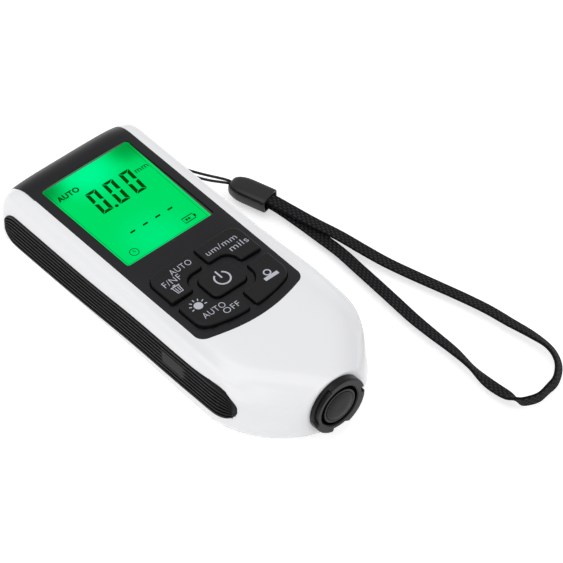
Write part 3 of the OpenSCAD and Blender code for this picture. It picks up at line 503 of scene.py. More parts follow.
def case_skin():
    """The front half's outside. At each place along Y the section climbs from the parting line up the left
    side, round the shoulder, across the face and down the right side; the rows run from nose to top end.
    The dome of the nose is evened out, and the skin lies lower under the panel's end."""
    y = np.concatenate([
        DOME_Y - NOSE_L * np.sin(np.linspace(np.pi / 2, 0, 48)),
        np.linspace(DOME_Y, 40.0, 120)[1:],
        np.linspace(40.0, 44.0, 9)[1:],
        TOP_Y - END_R + END_R * np.sin(np.linspace(0, np.pi / 2, 32))[1:],
    ])
    w, t, b, uw, uh, lw, lh = case_sizes(y)
    w, t, b = w - SKIN_IN, t - SKIN_IN, b + SKIN_IN
    start = np.arcsin(np.clip((b + lh - PART_Z) / lh, 0, 1))
    left = []
    for a in np.linspace(1, 0, 9):
        left.append((w - lw + lw * np.cos(a * start), b + lh - lh * np.sin(a * start)))
    for f in (0.1013, 0.22, 0.34, 0.46, 0.57, 0.68, 0.785, 0.9):
        left.append((w, (b + lh) * (1 - f) + (t - uh) * f))
    for a in np.linspace(0, np.pi / 2, 18):
        left.append((w - uw + uw * np.cos(a), t - uh + uh * np.sin(a)))
    across = [(f * (w - uw), t) for f in np.linspace(-1, 1, 60)[1:-1]]
    columns = [(-x, z) for x, z in left] + across + [(x, z) for x, z in left[::-1]]
    x = np.stack([c[0] for c in columns], 1)
    z = np.stack([c[1] for c in columns], 1)
    yy = np.repeat(y[:, None], x.shape[1], 1)
    reach = np.hypot(x[0], z[0] - PROBE_Z)
    nose = np.stack([x[0] * HOLE_R / reach, yy[0], PROBE_Z + (z[0] - PROBE_Z) * HOLE_R / reach], -1)
    rows = [nose, *np.stack([x, yy, z], -1)]
    for f in (0.5, 0.0):
        rows.append(np.stack([x[-1] * f, yy[-1], PART_Z + (z[-1] - PART_Z) * f], -1))
    grid = np.stack(rows)
    for row in grid[1:-2]:
        row[:] = evened(row, smooth01((DOME_Y + 6 - row[0, 1]) / 8) * smooth01((row[0, 1] - NOSE_Y) / 2))
    for k in range(grid.shape[1]):
        line = grid[1:-2, k]
        far = line[:, 1:2]
        line[:] = evened(line, smooth01((DOME_Y + 8 - far) / 10) * smooth01((far - NOSE_Y) / 2))
    points = grid.reshape(-1, 3)
    points[:, 2] -= crowned(points[:, 0], points[:, 2])
    points[:, 0] *= slimmed(points[:, 1], points[:, 2])
    px, py, pz = points.T
    sunk = under_panel(px, py, 0.02) & (py > END_SUNK_Y) & (pz > PANEL_END_Z + 0.05)
    points[sunk] -= (0.0, END_SUNK, END_SUNK)
    faces = grid_faces(len(rows), x.shape[1])
    centre = points[faces].mean(1)
    cx, cy, cz = centre.T
    face_hole = under_panel(cx, cy, PANEL_LAP) & (cz > PANEL_END_Z + PANEL_WALL)
    eye_hole = (cx > 17) & (cy > EYE_Y0) & (cy < EYE_Y1) & (cz > EYE_Z0) & (cz < EYE_Z1)
    keep = ~(face_hole | eye_hole)
    for sign, end_y in ((-1, GRIP_TOP_Y), (1, GRIP_RIGHT_TOP_Y)):
        axis, reach = grip_lines(cy, end_y)
        v = np.abs(cz - axis) / np.maximum(reach, 1e-6)
        inside = (cy > GRIP_TIP_Y + GRIP_LAP) & (cy < end_y - GRIP_LAP) & (v < 0.88)
        keep &= ~(inside & (cx * sign > 12))
    return points, faces[keep]


def eyelet():
    """The strap bar's pocket, a box open to the right, and the upright round bar in it."""
    x, y, z = (EYE_X0, EYE_X1), (EYE_Y0, EYE_Y1), (EYE_Z0, EYE_Z1)
    corners = np.array([(a, b, c) for a in x for b in y for c in z])
    walls = [(0, 1, 3, 2), (0, 4, 5, 1), (2, 3, 7, 6), (0, 2, 6, 4), (1, 5, 7, 3)]
    turn = np.linspace(0, 2 * np.pi, 24, endpoint=False)
    ring = np.stack([BAR_X + BAR_R * np.cos(turn), (EYE_Y0 + EYE_Y1) / 2 + BAR_R * np.sin(turn)], -1)
    bar = np.concatenate([np.c_[ring, np.full(len(ring), level)] for level in z])
    return joined([(corners, walls), (bar, grid_faces(2, len(ring), True))])


def grip_skin(sign, end_y):
    """A grip's outside over the case's side: place along Y by share of its height, lifted off the side by a
    rounded rim and lowered by evenly spaced lengthwise grooves that fade at the ends and round a smooth
    patch. Also gives the share of the full groove depth at each point."""
    rows, columns = 220, 241
    y = GRIP_TIP_Y + (end_y - GRIP_TIP_Y) * (0.5 - 0.5 * np.cos(np.linspace(0.01, np.pi - 0.01, rows)))
    v = np.linspace(-1, 1, columns)
    yy, vv = np.meshgrid(y, v, indexing="ij")
    axis, reach = grip_lines(yy, end_y)
    close = grip_close(yy, end_y)
    z = axis + vv * reach
    rim = smooth01((1 - np.abs(vv)) / 0.08) * smooth01(close / 0.3)
    wave = 0.5 - 0.5 * np.cos(2 * np.pi * GRIP_GROOVES * (vv + GROOVE_SPAN) / (2 * GROOVE_SPAN))
    wave = smooth01((np.where(np.abs(vv) < GROOVE_SPAN, wave, 0.0) - 0.25) / 0.5)
    span = smooth01((yy - PATCH_Y0) / 2) * smooth01((PATCH_Y1 - yy) / 2)
    patch_share = span * smooth01((PATCH_HALF - np.abs(vv - PATCH_V)) / 0.06)
    share = wave * smooth01(3 * (close - 0.45)) * (1 - patch_share)
    lift = (GRIP_PROUD + GRIP_SUNK) * rim - GRIP_SUNK - GROOVE_D * share
    x = sign * (side_x(yy, z) + lift)
    return np.stack([x, yy, z], -1).reshape(-1, 3), grid_faces(rows, columns), share.ravel()


# Outlines of the keys and the display
def rounded(corners):
    """Points round a closed outline whose corners (x, y, radius) are replaced by arcs."""
    line = []
    count = len(corners)
    for k in range(count):
        p = np.array(corners[k][:2], float)
        r = corners[k][2]
        a = np.array(corners[k - 1][:2], float) - p
        b = np.array(corners[(k + 1) % count][:2], float) - p
        a, b = a / np.linalg.norm(a), b / np.linalg.norm(b)
        angle = math.acos(max(-1.0, min(1.0, float(a @ b))))
        if r <= 0 or angle > math.pi - 0.02:
            line.append(p)
            continue
        back = r / math.tan(angle / 2)
        centre = p + (a + b) / np.linalg.norm(a + b) * r / math.sin(angle / 2)
        from_, to = p + a * back - centre, p + b * back - centre
        turn = math.atan2(from_[0] * to[1] - from_[1] * to[0], float(from_ @ to))
        steps = max(4, int(abs(turn) / 0.16))
        start = math.atan2(from_[1], from_[0])
        t = start + turn * np.arange(steps + 1) / steps
        line.extend(centre + r * np.c_[np.cos(t), np.sin(t)])
    return np.array(line)


def box_outline(x, y0, y1, r):
    """The outline of a box with round corners, from -x to x and from y0 to y1."""
    return rounded([(-x, y0, r), (x, y0, r), (x, y1, r), (-x, y1, r)])


def upper_key(sign):
    """An upper key's outline: a box with a notch beside the power key."""
    inner, notch, outer = sign * HALF_SPLIT, sign * NOTCH_X, sign * FIELD_X
    step, split, r = POWER_Y + NOTCH_Y, SPLIT_Y + HALF_SPLIT, KEY_CORNER_R
    return rounded([
        (outer, FIELD_TOP, FIELD_TOP_R), (inner, FIELD_TOP, r), (inner, step, r),
        (notch, step, NOTCH_TOP_R), (notch, split, r), (outer, split, r),
    ])


def bow_y(x):
    """Place of the key field's bowed lower edge at x."""
    return FIELD_ARC_Y - math.sqrt(FIELD_ARC_R**2 - x**2)


def lower_key(sign):
    """A lower key's outline: its outer edge is part of the field's bowed edge."""
    inner, notch, outer = sign * HALF_SPLIT, sign * NOTCH_X, sign * FIELD_X
    step, split, r = POWER_Y - NOTCH_Y, SPLIT_Y - HALF_SPLIT, KEY_CORNER_R
    bend = FIELD_CORNER_R
    corner_x = FIELD_X - bend
    corner_y = FIELD_ARC_Y - math.sqrt((FIELD_ARC_R - bend) ** 2 - corner_x**2)
    foot = corner_x * FIELD_ARC_R / (FIELD_ARC_R - bend)
    edge = [
        (outer, split, r), (notch, split, r), (notch, step, NOTCH_R), (inner, step, r),
        (inner, bow_y(HALF_SPLIT), r),
    ]
    for x in np.linspace(2.6, foot, 14):
        edge.append((sign * x, bow_y(x), 0.0))
    last = math.atan2(bow_y(foot) - corner_y, foot - corner_x)
    for t in np.linspace(last, 0, 12)[1:]:
        edge.append((sign * (corner_x + bend * math.cos(t)), corner_y + bend * math.sin(t), 0.0))
    return rounded(edge)


def winding(outline):
    """Twice the area within a closed outline, less than 0 where it runs clockwise."""
    x, y = outline.T
    return np.sum(x * np.roll(y, -1) - np.roll(x, -1) * y)


def outward(outline):
    """Directions of length 1 out of a closed outline, at its points."""
    step = np.roll(outline, -1, 0) - np.roll(outline, 1, 0)
    step /= np.linalg.norm(step, axis=1)[:, None]
    return np.c_[step[:, 1], -step[:, 0]] * np.sign(winding(outline))


def key_solid(outline):
    """A key's outside: its outline raised from its foot, with a quarter-round top edge and a flat top."""
    if winding(outline) < 0:
        outline = outline[::-1]
    out = outward(outline)
    rows = [(0.0, KEY_FOOT_Z)]
    for a in np.linspace(0, np.pi / 2, 8):
        rows.append((KEY_ROUND * (1 - math.cos(a)), KEY_Z - KEY_ROUND * (1 - math.sin(a))))
    rows.append((KEY_ROUND + 0.08, KEY_Z))
    points = np.concatenate([np.c_[outline - out * d, np.full(len(outline), z)] for d, z in rows])
    n = len(outline)
    faces = [tuple(f) for f in grid_faces(len(rows), n, True)]
    faces.append(tuple(range((len(rows) - 1) * n, len(rows) * n)))
    return points, faces


# Face panel
def within(points, outline):
    """Which points lie inside a closed outline, by counting the edges to the right of each."""
    x, y = points[:, :1], points[:, 1:2]
    x0, y0 = outline.T
    x1, y1 = np.roll(outline, -1, 0).T
    rise = np.where(y1 == y0, 1e-12, y1 - y0)
    crossed = ((y0 > y) != (y1 > y)) & (x < x0 + (y - y0) / rise * (x1 - x0))
    return crossed.sum(1) % 2 == 1


def on_face(x, s):
    """Place on the crowned face at x and at the distance s along it, which runs on round the top end and
    down it, and the direction into the case there."""
    level = TOP_Y - END_R
    turn = np.clip((s - level) / END_R, 0, np.pi / 2)
    y = np.minimum(s, level) + END_R * np.sin(turn)
    w, t, b, uw, uh, lw, lh = case_sizes(y)
    z = t - uh * dip(clamp01((np.abs(x) - (w - uw)) / uw)) - np.maximum(s - level - END_R * np.pi / 2, 0)
    into = np.stack([0 * turn, -np.sin(turn), -np.cos(turn)], -1)
    return np.stack([x, y, z - crowned(x, z)], -1), into


def panel_skin(openings):
    """The panel's outside: flat triangles between its outline and the outlines of the openings, bent over
    the face and the top end, with a short wall down from each outline. The openings are (outline, depth)."""
    x = np.linspace(PANEL_X, -PANEL_X, 60)
    low, high = np.full(60, 40.0), np.full(60, 62.0)
    for _ in range(40):
        middle = (low + high) / 2
        above = on_face(x, middle)[0][:, 2] > PANEL_END_Z
        low, high = np.where(above, middle, low), np.where(above, high, middle)
    cx, cy = PANEL_CORNER
    lean = math.atan2(cy - FIELD_ARC_Y, cx)
    turn = np.linspace(0, lean, 12)
    corner = np.c_[cx + PANEL_CORNER_R * np.cos(turn), cy + PANEL_CORNER_R * np.sin(turn)]
    turn = np.linspace(-math.pi - lean, lean, 60)[1:-1]
    bow = np.c_[PANEL_ARC_R * np.cos(turn), FIELD_ARC_Y + PANEL_ARC_R * np.sin(turn)]
    up = np.linspace(cy, low[0], 70)[1:-1]
    side = np.c_[np.full(len(up), PANEL_X), up]
    outer = np.concatenate([corner * (-1, 1), bow, corner[::-1], side, np.c_[x, low], side[::-1] * (-1, 1)])
    loops = [outer, *[outline for outline, depth in openings]]
    gx, gs = np.meshgrid(np.linspace(-16, 16, 41), np.r_[np.arange(-24, 42, 1.2), np.arange(42, 62, 0.6)])
    fill = np.c_[gx.ravel(), gs.ravel()]
    rims = np.concatenate(loops)
    clear = np.linalg.norm(fill[:, None] - rims, axis=2).min(1) > 0.4
    fill = fill[clear & within(fill, outer)]
    for hole in loops[1:]:
        fill = fill[~within(fill, hole)]
    flat = np.concatenate([rims, fill])
    edges, start = [], 0
    for loop in loops:
        edges += [(start + i, start + (i + 1) % len(loop)) for i in range(len(loop))]
        start += len(loop)
    got = delaunay_2d_cdt([Vector(q) for q in flat], edges, [], 0, 1e-6)
    flat, faces = np.array([tuple(q) for q in got[0]]), np.array([tuple(f) for f in got[2]])
    centre = flat[faces].mean(1)
    keep = within(centre, outer)
    for hole in loops[1:]:
        keep &= ~within(centre, hole)
    parts = [(on_face(flat[:, 0], flat[:, 1])[0], faces[keep])]
    for loop, depth in zip(loops, [PANEL_WALL, *[depth for outline, depth in openings]]):
        top, into = on_face(loop[:, 0], loop[:, 1])
        wall = grid_faces(2, len(loop), True)
        parts.append((np.concatenate([top, top + into * depth]), wall if loop is outer else wall[:, ::-1]))
    return joined(parts)


# Flat marks: each is (points in the plane, faces)
def stroke(line, width, closed=False):
    """A flat ribbon of the given width along a line of points."""
    line = np.asarray(line, float)
    if closed:
        step = np.roll(line, -1, 0) - np.roll(line, 1, 0)
    else:
        step = np.gradient(line, axis=0)
    step /= np.linalg.norm(step, axis=1)[:, None]
    side = np.c_[-step[:, 1], step[:, 0]] * width / 2
    n = len(line)
    faces = [(i, (i + 1) % n, n + (i + 1) % n, n + i) for i in range(n if closed else n - 1)]
    return np.concatenate([line - side, line + side]), faces


def arc(cx, cy, r, a0, a1, steps=40):
    """Points along part of a circle, from a0 to a1 degrees."""
    t = np.radians(np.linspace(a0, a1, steps))
    return np.c_[cx + r * np.cos(t), cy + r * np.sin(t)]


def disc(cx, cy, r, steps=40):
    """A flat round face."""
    return arc(cx, cy, r, 0, 360 - 360 / steps, steps), [tuple(range(steps))]


def patch(*corners):
    """One flat face with the given corners."""
    return np.array(corners, float), [tuple(range(len(corners)))]


def lettering(text, x, y, width, height, weight=-0.008):
    """Letters as flat faces: their box is width by height with its middle at x, y."""
    curve = bpy.data.curves.new("lettering", "FONT")
    curve.body = text
    curve.resolution_u = 6
    curve.offset = weight
    curve.space_character = 1.08
    holder = bpy.data.objects.new("lettering", curve)
    bpy.context.scene.collection.objects.link(holder)
    bpy.context.view_layer.update()
    mesh = bpy.data.meshes.new_from_object(holder.evaluated_get(bpy.context.evaluated_depsgraph_get()))
    points = np.array([v.co[:2] for v in mesh.vertices], float)
    faces = [tuple(p.vertices) for p in mesh.polygons]
    bpy.data.objects.remove(holder)
    bpy.data.curves.remove(curve)
    bpy.data.meshes.remove(mesh)
    low, high = points.min(0), points.max(0)
    points = (points - (low + high) / 2) / (high - low) * (width, height)
    return points + (x, y), faces


def marks(name, shapes, z, material, body):
    """Flat marks joined into one piece at height z, in millimetres."""
    points, faces = joined(shapes)
    return piece(name, np.c_[points, np.full(len(points), z)] * MM, faces, material, body, smooth=False)


def digit_zero(cx, cy, w=3.25, h=8.15, side=1.0, cap=0.88, lean=0.083):
    """The six lit bars of a leaning seven-bar nought: mitred at the corners, and the upright ones at the
    waist too, with a small gap between neighbours."""
    a, b, gap = w / 2, h / 2, 0.1
    top = [(-a + gap, b), (a - gap, b), (a - side - gap, b - cap), (-a + side + gap, b - cap)]
    upright = [(-a, b - gap), (-a + side, b - cap - gap), (-a + side, 0.55), (-a, gap)]
    bars = [np.array(top) * (1, v) for v in (1, -1)]
    bars += [np.array(upright) * (u, v) for u in (1, -1) for v in (1, -1)]
    return [(bar + np.c_[bar[:, 1] * lean, 0 * bar[:, 1]] + (cx, cy), [(0, 1, 2, 3)]) for bar in bars]


# Strap
def smooth_path(points, steps):
    """Catmull-Rom curve through points, with steps parts between neighbours."""
    p = np.asarray(points, float)
    p = np.concatenate([[2 * p[0] - p[1]], p, [2 * p[-1] - p[-2]]])[:, None]
    a, b, c, d = p[:-3], p[1:-2], p[2:-1], p[3:]
    s = (np.arange(steps) / steps)[:, None]
    bend = (2 * a - 5 * b + 4 * c - d) * s**2 + (3 * b - a - 3 * c + d) * s**3
    curve = 0.5 * (2 * b + (c - a) * s + bend)
    return np.concatenate([curve.reshape(-1, p.shape[2]), p[-2]])


def sweep(path, section, lean=None):
    """A section of points carried along a path; lean turns it about the path, 90 degrees being flat."""
    tangent = np.gradient(path, axis=0)
    tangent /= np.linalg.norm(tangent, axis=1)[:, None]
    side = np.cross(tangent, (0.0, 0.0, 1.0))
    side /= np.linalg.norm(side, axis=1)[:, None]
    up = np.cross(side, tangent)
    a = np.zeros(len(path)) if lean is None else np.radians(lean - 90)
    flat = np.cos(a)[:, None] * side + np.sin(a)[:, None] * up
    thick = np.cos(a)[:, None] * up - np.sin(a)[:, None] * side
    rings = path[:, None] + section[None, :, :1] * flat[:, None] + section[None, :, 1:] * thick[:, None]
    n = len(section)
    faces = [tuple(f) for f in grid_faces(len(path), n, True)]
    faces += [tuple(range(n - 1, -1, -1)), tuple(range((len(path) - 1) * n, len(path) * n))]
    return rings.reshape(-1, 3), faces


def bead_skin():
    """The bead: flattened round sections along its axis, narrow at the cord's end and open at the band's end,
    where the surface turns in round a thin lip and ends on the mouth's floor."""
    profile = [
        (0.0, 0.02), (0.0, 0.42), (0.05, 0.52), (0.18, 0.62), (0.4, 0.71), (0.8, 0.8), (1.4, 0.88),
        (2.2, 0.94), (3.4, 0.98), (5.0, 1.0), (BEAD_L - 0.3, 1.0), (BEAD_L - 0.08, 0.98), (BEAD_L, 0.94),
        (BEAD_L, 0.82), (BEAD_L - 0.15, 0.78), (BEAD_L - 4.8, 0.76), (BEAD_L - 4.9, 0.02),
    ]
    turn = np.linspace(0, 2 * np.pi, 64, endpoint=False)
    cx, cz = squarish(np.cos(turn), 0.5), squarish(np.sin(turn), 0.5)
    rows = []
    for s, f in profile:
        wide = f * (0.84 + 0.16 * min(1.0, s / 3.5))
        rows.append(np.stack([np.full(len(turn), s), cx * wide * BEAD_W / 2, cz * f * BEAD_H / 2], -1))
    p = np.concatenate(rows)
    a = math.radians(BEAD_TURN)
    x = BEAD_TIP[0] + p[:, 0] * math.cos(a) - p[:, 1] * math.sin(a)
    y = BEAD_TIP[1] + p[:, 0] * math.sin(a) + p[:, 1] * math.cos(a)
    return np.stack([x, y, BEAD_RISE + BEAD_H / 2 + p[:, 2]], -1), grid_faces(len(rows), len(turn), True)


def collar_skin(depth):
    """The probe collar: a ring turned about the probe's axis, a little wider to one side, with a round front
    edge that is set back in the gaps between its lugs."""
    ends = np.ravel([(start, start + rise, end - fall, end) for start, end, rise, fall in COLLAR_GAPS])
    turn = np.unique(np.r_[np.arange(1.5, 360, 3), ends % 360])
    front = np.zeros(len(turn))
    back = front
    for start, end, rise, fall in COLLAR_GAPS:
        past = (turn - start) % 360
        back = np.maximum(back, LUG_H * smooth01(past / rise) * smooth01((end - start - past) / fall))
    a = np.radians(turn)
    rim = COLLAR_R + LUG_REACH * clamp01(np.cos(a - math.radians(LUG_REACH_AT)))
    profile = [
        (COLLAR_BORE_R, front + depth), (COLLAR_BORE_R, front + 0.25), (COLLAR_BORE_R + 0.25, front),
        (LUG_RING_R, front), (LUG_RING_R + 0.1, back),
        *[(rim - COLLAR_ROUND * (1 - math.sin(t)), back + COLLAR_ROUND * (1 - math.cos(t)))
          for t in np.linspace(0, np.pi / 2, 5)],
        (rim, front + COLLAR_OUT), (HOLE_R - 0.1, front + COLLAR_OUT), (HOLE_R - 0.1, front + depth),
    ]
    points = np.concatenate([
        np.stack([r * np.cos(a), NOSE_Y - COLLAR_OUT + y, PROBE_Z + r * np.sin(a)], -1) for r, y in profile
    ])
    return points, grid_faces(len(profile) + 1, len(turn), True)[:, ::-1] % len(points)


def finish_edges(shown, bevel_width):
    """Joins doubled points, rounds sharp edges by any width given, and keeps flats flat, curves smooth."""
    weld = shown.modifiers.new("weld", "WELD")
    weld.merge_threshold = 0.000002
    if bevel_width:
        bevel = shown.modifiers.new("bevel", "BEVEL")
        bevel.width = bevel_width
        bevel.segments = 2
        bevel.limit_method = "ANGLE"
        bevel.angle_limit = math.radians(40)
    split = shown.modifiers.new("split", "EDGE_SPLIT")
    split.split_angle = math.radians(32)
    normal = shown.modifiers.new("normal", "WEIGHTED_NORMAL")
    normal.keep_sharp = True


# Stage
def seen_only(material, strength):
    """Gives a stage material a glow that is seen and mirrored, but puts no light on the object."""
    tree = material.node_tree
    path = tree.nodes.new("ShaderNodeLightPath")
    total = path.outputs["Is Camera Ray"]
    for ray in ("Is Glossy Ray", "Is Transmission Ray"):
        more = tree.nodes.new("ShaderNodeMath")
        more.operation = "MAXIMUM"
        tree.links.new(total, more.inputs[0])
        tree.links.new(path.outputs[ray], more.inputs[1])
        total = more.outputs[0]
    level = tree.nodes.new("ShaderNodeMath")
    level.operation = "MULTIPLY"
    level.inputs[1].default_value = strength
    tree.links.new(total, level.inputs[0])
    tree.links.new(level.outputs[0], tree.nodes["Principled BSDF"].inputs["Emission Strength"])


def lamp(name, place, aim, size, watts):
    """A rectangular area light at a place, turned towards its aim."""
    data = bpy.data.lights.new(name, "AREA")
    data.shape = "RECTANGLE"
    data.size, data.size_y = size
    data.energy = watts
    made = bpy.data.objects.new(name, data)
    made.location = place
    made.rotation_mode = "QUATERNION"
    made.rotation_quaternion = (Vector(aim) - Vector(place)).to_track_quat("-Z", "Y")
    bpy.context.scene.collection.objects.link(made)


# Pieces that stand for faceted parts
points, faces = joined([case_skin(), eyelet()])
front = piece("front_case_skin", points * MM, faces, CASE, "case")
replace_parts(front, "front_case")
for name, sign, end_y in (("grip_left", -1, GRIP_TOP_Y), ("grip_right", 1, GRIP_RIGHT_TOP_Y)):
    points, faces, share = grip_skin(sign, end_y)
    # The groove share goes in as UV, by which the rubber paints shade into its grooves.
    grip = piece(name + "_skin", points * MM, faces, RUBBER, "case", uv=np.c_[share, share])
    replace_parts(grip, name)

power_outline = box_outline(POWER_X, POWER_Y - POWER_HALF_L, POWER_Y + POWER_HALF_L, POWER_R)
openings = [(box_outline(DISPLAY_X, DISPLAY_Y0, DISPLAY_Y1, DISPLAY_R), DISPLAY_D)]
for name, outline in (
    ("key_power", power_outline), ("key_mode", upper_key(-1)), ("key_units", upper_key(1)),
    ("key_light", lower_key(-1)), ("key_zero", lower_key(1)),
):
    points, faces = key_solid(outline)
    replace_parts(piece(name + "_cap", points * MM, faces, KEY, name), name)
    openings.append((outline + KEY_CLEAR * outward(outline), KEY_HOLE_D))
points, faces = panel_skin(openings)
panel = piece("front_panel_skin", points * MM, faces, PANEL, "case")
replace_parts(panel, "front_panel")
finish_edges(panel, 0.00012)

# Display picture and its marks
x, y0, y1 = DISPLAY_X + PICTURE_MARGIN, DISPLAY_Y0 - PICTURE_MARGIN, DISPLAY_Y1 + PICTURE_MARGIN
points = np.array([(-x, y0, PICTURE_Z), (x, y0, PICTURE_Z), (x, y1, PICTURE_Z), (-x, y1, PICTURE_Z)])
picture = piece("display_picture", points * MM, [(0, 1, 2, 3)], PICTURE, "case", smooth=False)
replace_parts(picture, "display_window")
ledge_x = np.linspace(-DISPLAY_X + 0.6, DISPLAY_X - 0.6, 24)
ledge_top = FACE_Z - 0.1 - crowned(ledge_x, FACE_Z)
points = np.concatenate([
    np.stack(np.broadcast_arrays(ledge_x, DISPLAY_Y1 - 0.03, z), -1) for z in (PICTURE_Z + 0.005, ledge_top)
])
piece("display_ledge", points * MM, grid_faces(2, len(ledge_x)), LEDGE, "case", smooth=False)
inset = [
    stroke([(-12.9, 41.4), (-12.9, 9.6)], 0.1), stroke([(12.8, 41.4), (11.95, 9.6)], 0.1),
    stroke([(-12.9, 9.6), (11.95, 9.6)], 0.1),
]
marks("display_inset", inset, PICTURE_Z + 0.01, UNIT, "case")
for name, low_in, high_in, out, lift, material in (
    # The right wall, drawn flat on the picture in the darker grey as painted shade.
    ("display_side_ledge_painted_shade", 0.85, 0.1, 0.0, 0.02, SHADED_SIDE_LEDGE),
    # A black strip of the panel's colour, painted as the shadow along the right wall's outer edge.
    ("display_side_painted_shadow", 0.25, 0.05, 0.2, 0.03, PANEL),
):
    strip = np.array([(-low_in, LEDGE_Y0), (out, LEDGE_Y0), (out, LEDGE_Y1), (-high_in, LEDGE_Y1)])
    marks(name, [patch(*(strip + (DISPLAY_X, 0)))], PICTURE_Z + lift, material, "case")
MARK_Z = PICTURE_Z + 0.02
digits = [bar for x in (-4.69, 0.6, 5.8) for bar in digit_zero(x, 30.56)]
digits.append(disc(-2.4, 26.7, 0.5))
for x in (-5.05, -1.1, 2.8, 6.65):
    digits.append(patch((x - 0.85, 17.2), (x + 0.65, 17.2), (x + 0.85, 17.75), (x - 0.65, 17.75)))
marks("display_reading", digits, MARK_Z, SEGMENT, "case")
marks("display_unit", [lettering("mm", 10.3, 32.55, 3.9, 1.15, 0.02)], MARK_Z, UNIT, "case")
small = [
    lettering("AUTO", -8.9, 37.4, 6.5, 1.8, 0.04),
    stroke(arc(-9.15, 12.0, 1.15, 0, 354), 0.2, True),
    stroke([(-9.15, 12.7), (-9.15, 12.0), (-8.6, 12.0)], 0.2),
    stroke([(6.35, 11.1), (9.55, 11.1), (9.55, 12.8), (6.35, 12.8)], 0.3, True),
    patch((9.6, 11.5), (10.05, 11.5), (10.05, 12.4), (9.6, 12.4)),
    *[patch((x, 11.6), (x + 0.6, 11.6), (x + 0.6, 12.3), (x, 12.3)) for x in (6.95, 7.75)],
]
marks("display_signs", small, MARK_Z, FAINT, "case")

# Key legends
bin_lines = [
    stroke([(-11.5, -4.35), (-8.9, -4.35)], 0.3), stroke([(-10.6, -3.95), (-9.8, -3.95)], 0.3),
    stroke([(-11.15, -4.6), (-10.95, -6.55), (-9.45, -6.55), (-9.25, -4.6)], 0.26),
    stroke([(-10.55, -4.8), (-10.5, -6.3)], 0.2), stroke([(-9.85, -4.8), (-9.9, -6.3)], 0.2),
]
sun_at = np.array((-10.05, -12.75))
sun = [disc(*sun_at, 1.15)]
for a in np.radians((-12, 22, 56, 90, 124, 158, 192)):
    ray = np.array((math.cos(a), math.sin(a)))
    sun.append(stroke([sun_at + 1.6 * ray, sun_at + 2.3 * ray], 0.28))
legends = {
    "power": [stroke(arc(0.15, -9.6, 2.0, 122, 418), 0.44), stroke([(0.1, -6.85), (0.1, -9.5)], 0.44)],
    "mode": [
        lettering("AUTO", -5.2, -0.35, 6.4, 1.75), lettering("F/NF", -9.6, -2.45, 5.2, 1.85), *bin_lines,
    ],
    "units": [lettering("um/mm", 6.85, -1.15, 9.2, 1.75), lettering("mils", 10.3, -3.65, 5.4, 1.85)],
    "light": [*sun, lettering("AUTO", -8.2, -16.2, 6.6, 1.75), lettering("OFF", -4.45, -18.25, 4.7, 1.75)],
    "zero": [
        stroke(arc(9.3, -15.25, 0.85, 0, 354), 0.36, True),
        patch((7.25, -17.3), (11.4, -17.3), (11.4, -16.25), (7.25, -16.25)),
    ],
}
for key, shapes in legends.items():
    marks("legend_" + key, shapes, KEY_Z + 0.015, LEGEND, "key_" + key)

# Strap pieces
bead_points, bead_faces = bead_skin()
bead = piece("strap_bead_skin", bead_points * MM, bead_faces, BEAD, "case")
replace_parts(bead, "strap_bead")
cord_path = smooth_path(CORD_ROUTE, 6) * MM
ring = np.linspace(0, 2 * np.pi, 12, endpoint=False)
points, faces = sweep(cord_path, np.c_[np.cos(ring), np.sin(ring)] * CORD_D / 2)
cord = piece("strap_cord_skin", points, faces, CORD, "case")
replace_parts(cord, "strap_cord")

band_line = smooth_path(BAND_ROUTE, 10)
band_path, band_lean = band_line[:, :3] * MM, band_line[:, 3]
turn = np.linspace(0, 2 * np.pi, 40, endpoint=False)
section = np.c_[squarish(np.cos(turn), 0.35) * BAND_W / 2, squarish(np.sin(turn), 0.7) * BAND_T / 2]
points, faces = sweep(band_path, section, band_lean)
run = np.repeat(path_length(band_path), len(section))
band_uv = np.c_[run, np.tile(section[:, 0] / BAND_W + 0.5, len(band_path))]
band = piece("strap_band_skin", points, faces, BAND, "case", uv=band_uv)
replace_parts(band, "strap_band")

# Probe spring: a coil of wire as long as the part's spring
spring_low, spring_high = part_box("probe_spring")
spring_r = (spring_high[0] - spring_low[0] - SPRING_WIRE) / 2
spring_l = spring_high[1] - spring_low[1]
climb = np.linspace(0, 1, 32 * SPRING_TURNS + 1)
turn = 2 * np.pi * SPRING_TURNS * climb
spring_path = np.stack([
    spring_r * np.cos(turn),
    spring_low[1] + SPRING_WIRE / 2 + (spring_l - SPRING_WIRE) * climb,
    PROBE_Z * MM + spring_r * np.sin(turn),
], 1)
points, faces = sweep(spring_path[:, [0, 2, 1]], np.c_[np.cos(ring), np.sin(ring)] * SPRING_WIRE / 2)
faces = [f[::-1] for f in faces]
spring = piece("probe_spring_coil", points[:, [0, 2, 1]], faces, STEEL, "case")
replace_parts(spring, "probe_spring")
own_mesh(spring)

# Probe collar
collar_low, collar_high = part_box("probe_collar")
points, faces = collar_skin((collar_high[1] - collar_low[1]) / MM)
collar = piece("probe_collar_skin", points * MM, faces, COLLAR, "case")
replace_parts(collar, "probe_collar")
finish_edges(collar, None)

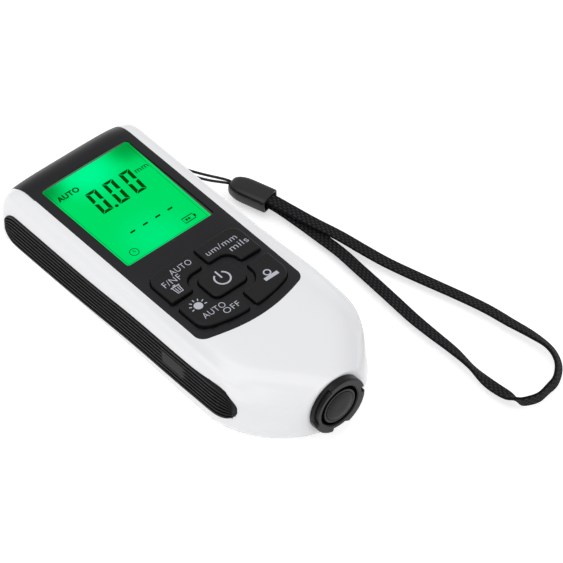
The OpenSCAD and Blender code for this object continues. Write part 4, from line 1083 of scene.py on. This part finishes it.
# Parts shown as they are, with smooth shading over their small facets
LOOKS = {
    "rear_case": CASE, "battery_cover": CASE, "probe_housing": SLEEVE, "probe_sleeve": SLEEVE,
    "probe_tip": TIP, "probe_core": STEEL, "probe_coil": COPPER, "probe_lead": LEAD, "case_screws": STEEL,
    "battery_left": CELL, "battery_right": CELL, "battery_springs": STEEL, "battery_contacts": STEEL,
    "lcd_glass": FRAME_GREY, "lcd_frame": FRAME_GREY, "backlight_plate": MILK, "lcd_connector": ELASTOMER,
    "main_board": BOARD, "controller_chip": CHIP, "key_switches": STEEL,
}
BEVELS = {"probe_sleeve": 0.00015, "battery_cover": 0.0002}
for name, material in LOOKS.items():
    shown = nodes[name]
    shown.data.materials.clear()
    shown.data.materials.append(material)
    shown.data.polygons.foreach_set("use_smooth", [True] * len(shown.data.polygons))
    finish_edges(shown, BEVELS.get(name))

# Floor, light and camera
floor_points = [(a * FLOOR_HALF, b * FLOOR_HALF, 0.0) for a, b in ((-1, -1), (1, -1), (1, 1), (-1, 1))]
floor_mesh = bpy.data.meshes.new("floor")
floor_mesh.from_pydata(floor_points, [], [(0, 1, 2, 3)])
FLOOR_PALE = paint("floor_pale", (0.9, 0.9, 0.9), 0.9, glow=((1.0, 1.0, 1.0), 0.0))
seen_only(FLOOR_PALE, FLOOR_GLOW)
floor_mesh.materials.append(FLOOR_PALE)
floor = bpy.data.objects.new("floor", floor_mesh)
bpy.context.scene.collection.objects.link(floor)

world = bpy.data.worlds.new("world")
bpy.context.scene.world = world
world.use_nodes = True
world.node_tree.nodes["Background"].inputs["Color"].default_value = (1.0, 1.0, 1.0, 1.0)
world.node_tree.nodes["Background"].inputs["Strength"].default_value = WORLD_LIGHT

lamp("lamp_top", (-0.1, 0.1, 0.75), (0.0, 0.0, 0.0), (0.6, 0.6), 1.2)
lamp("lamp_left", (-0.6, -0.2, 0.3), (0.0, 0.0, 0.0), (0.4, 0.6), 0.7)

camera_data = bpy.data.cameras.new("camera")
camera_data.lens = CAMERA_LENS
camera_data.sensor_width = 36.0
camera_data.clip_start, camera_data.clip_end = 0.01, 20.0
camera = bpy.data.objects.new("camera", camera_data)
azimuth, elevation = math.radians(CAMERA_AZIMUTH), math.radians(CAMERA_ELEVATION)
back = Vector((
    math.sin(azimuth) * math.cos(elevation), -math.cos(azimuth) * math.cos(elevation), math.sin(elevation),
))
camera.location = Vector(CAMERA_AIM) + back * CAMERA_DISTANCE
camera.rotation_mode = "QUATERNION"
camera.rotation_quaternion = (-back).to_track_quat("-Z", "Y")
bpy.context.scene.collection.objects.link(camera)
bpy.context.scene.camera = camera
bpy.context.scene.view_settings.view_transform = "Standard"
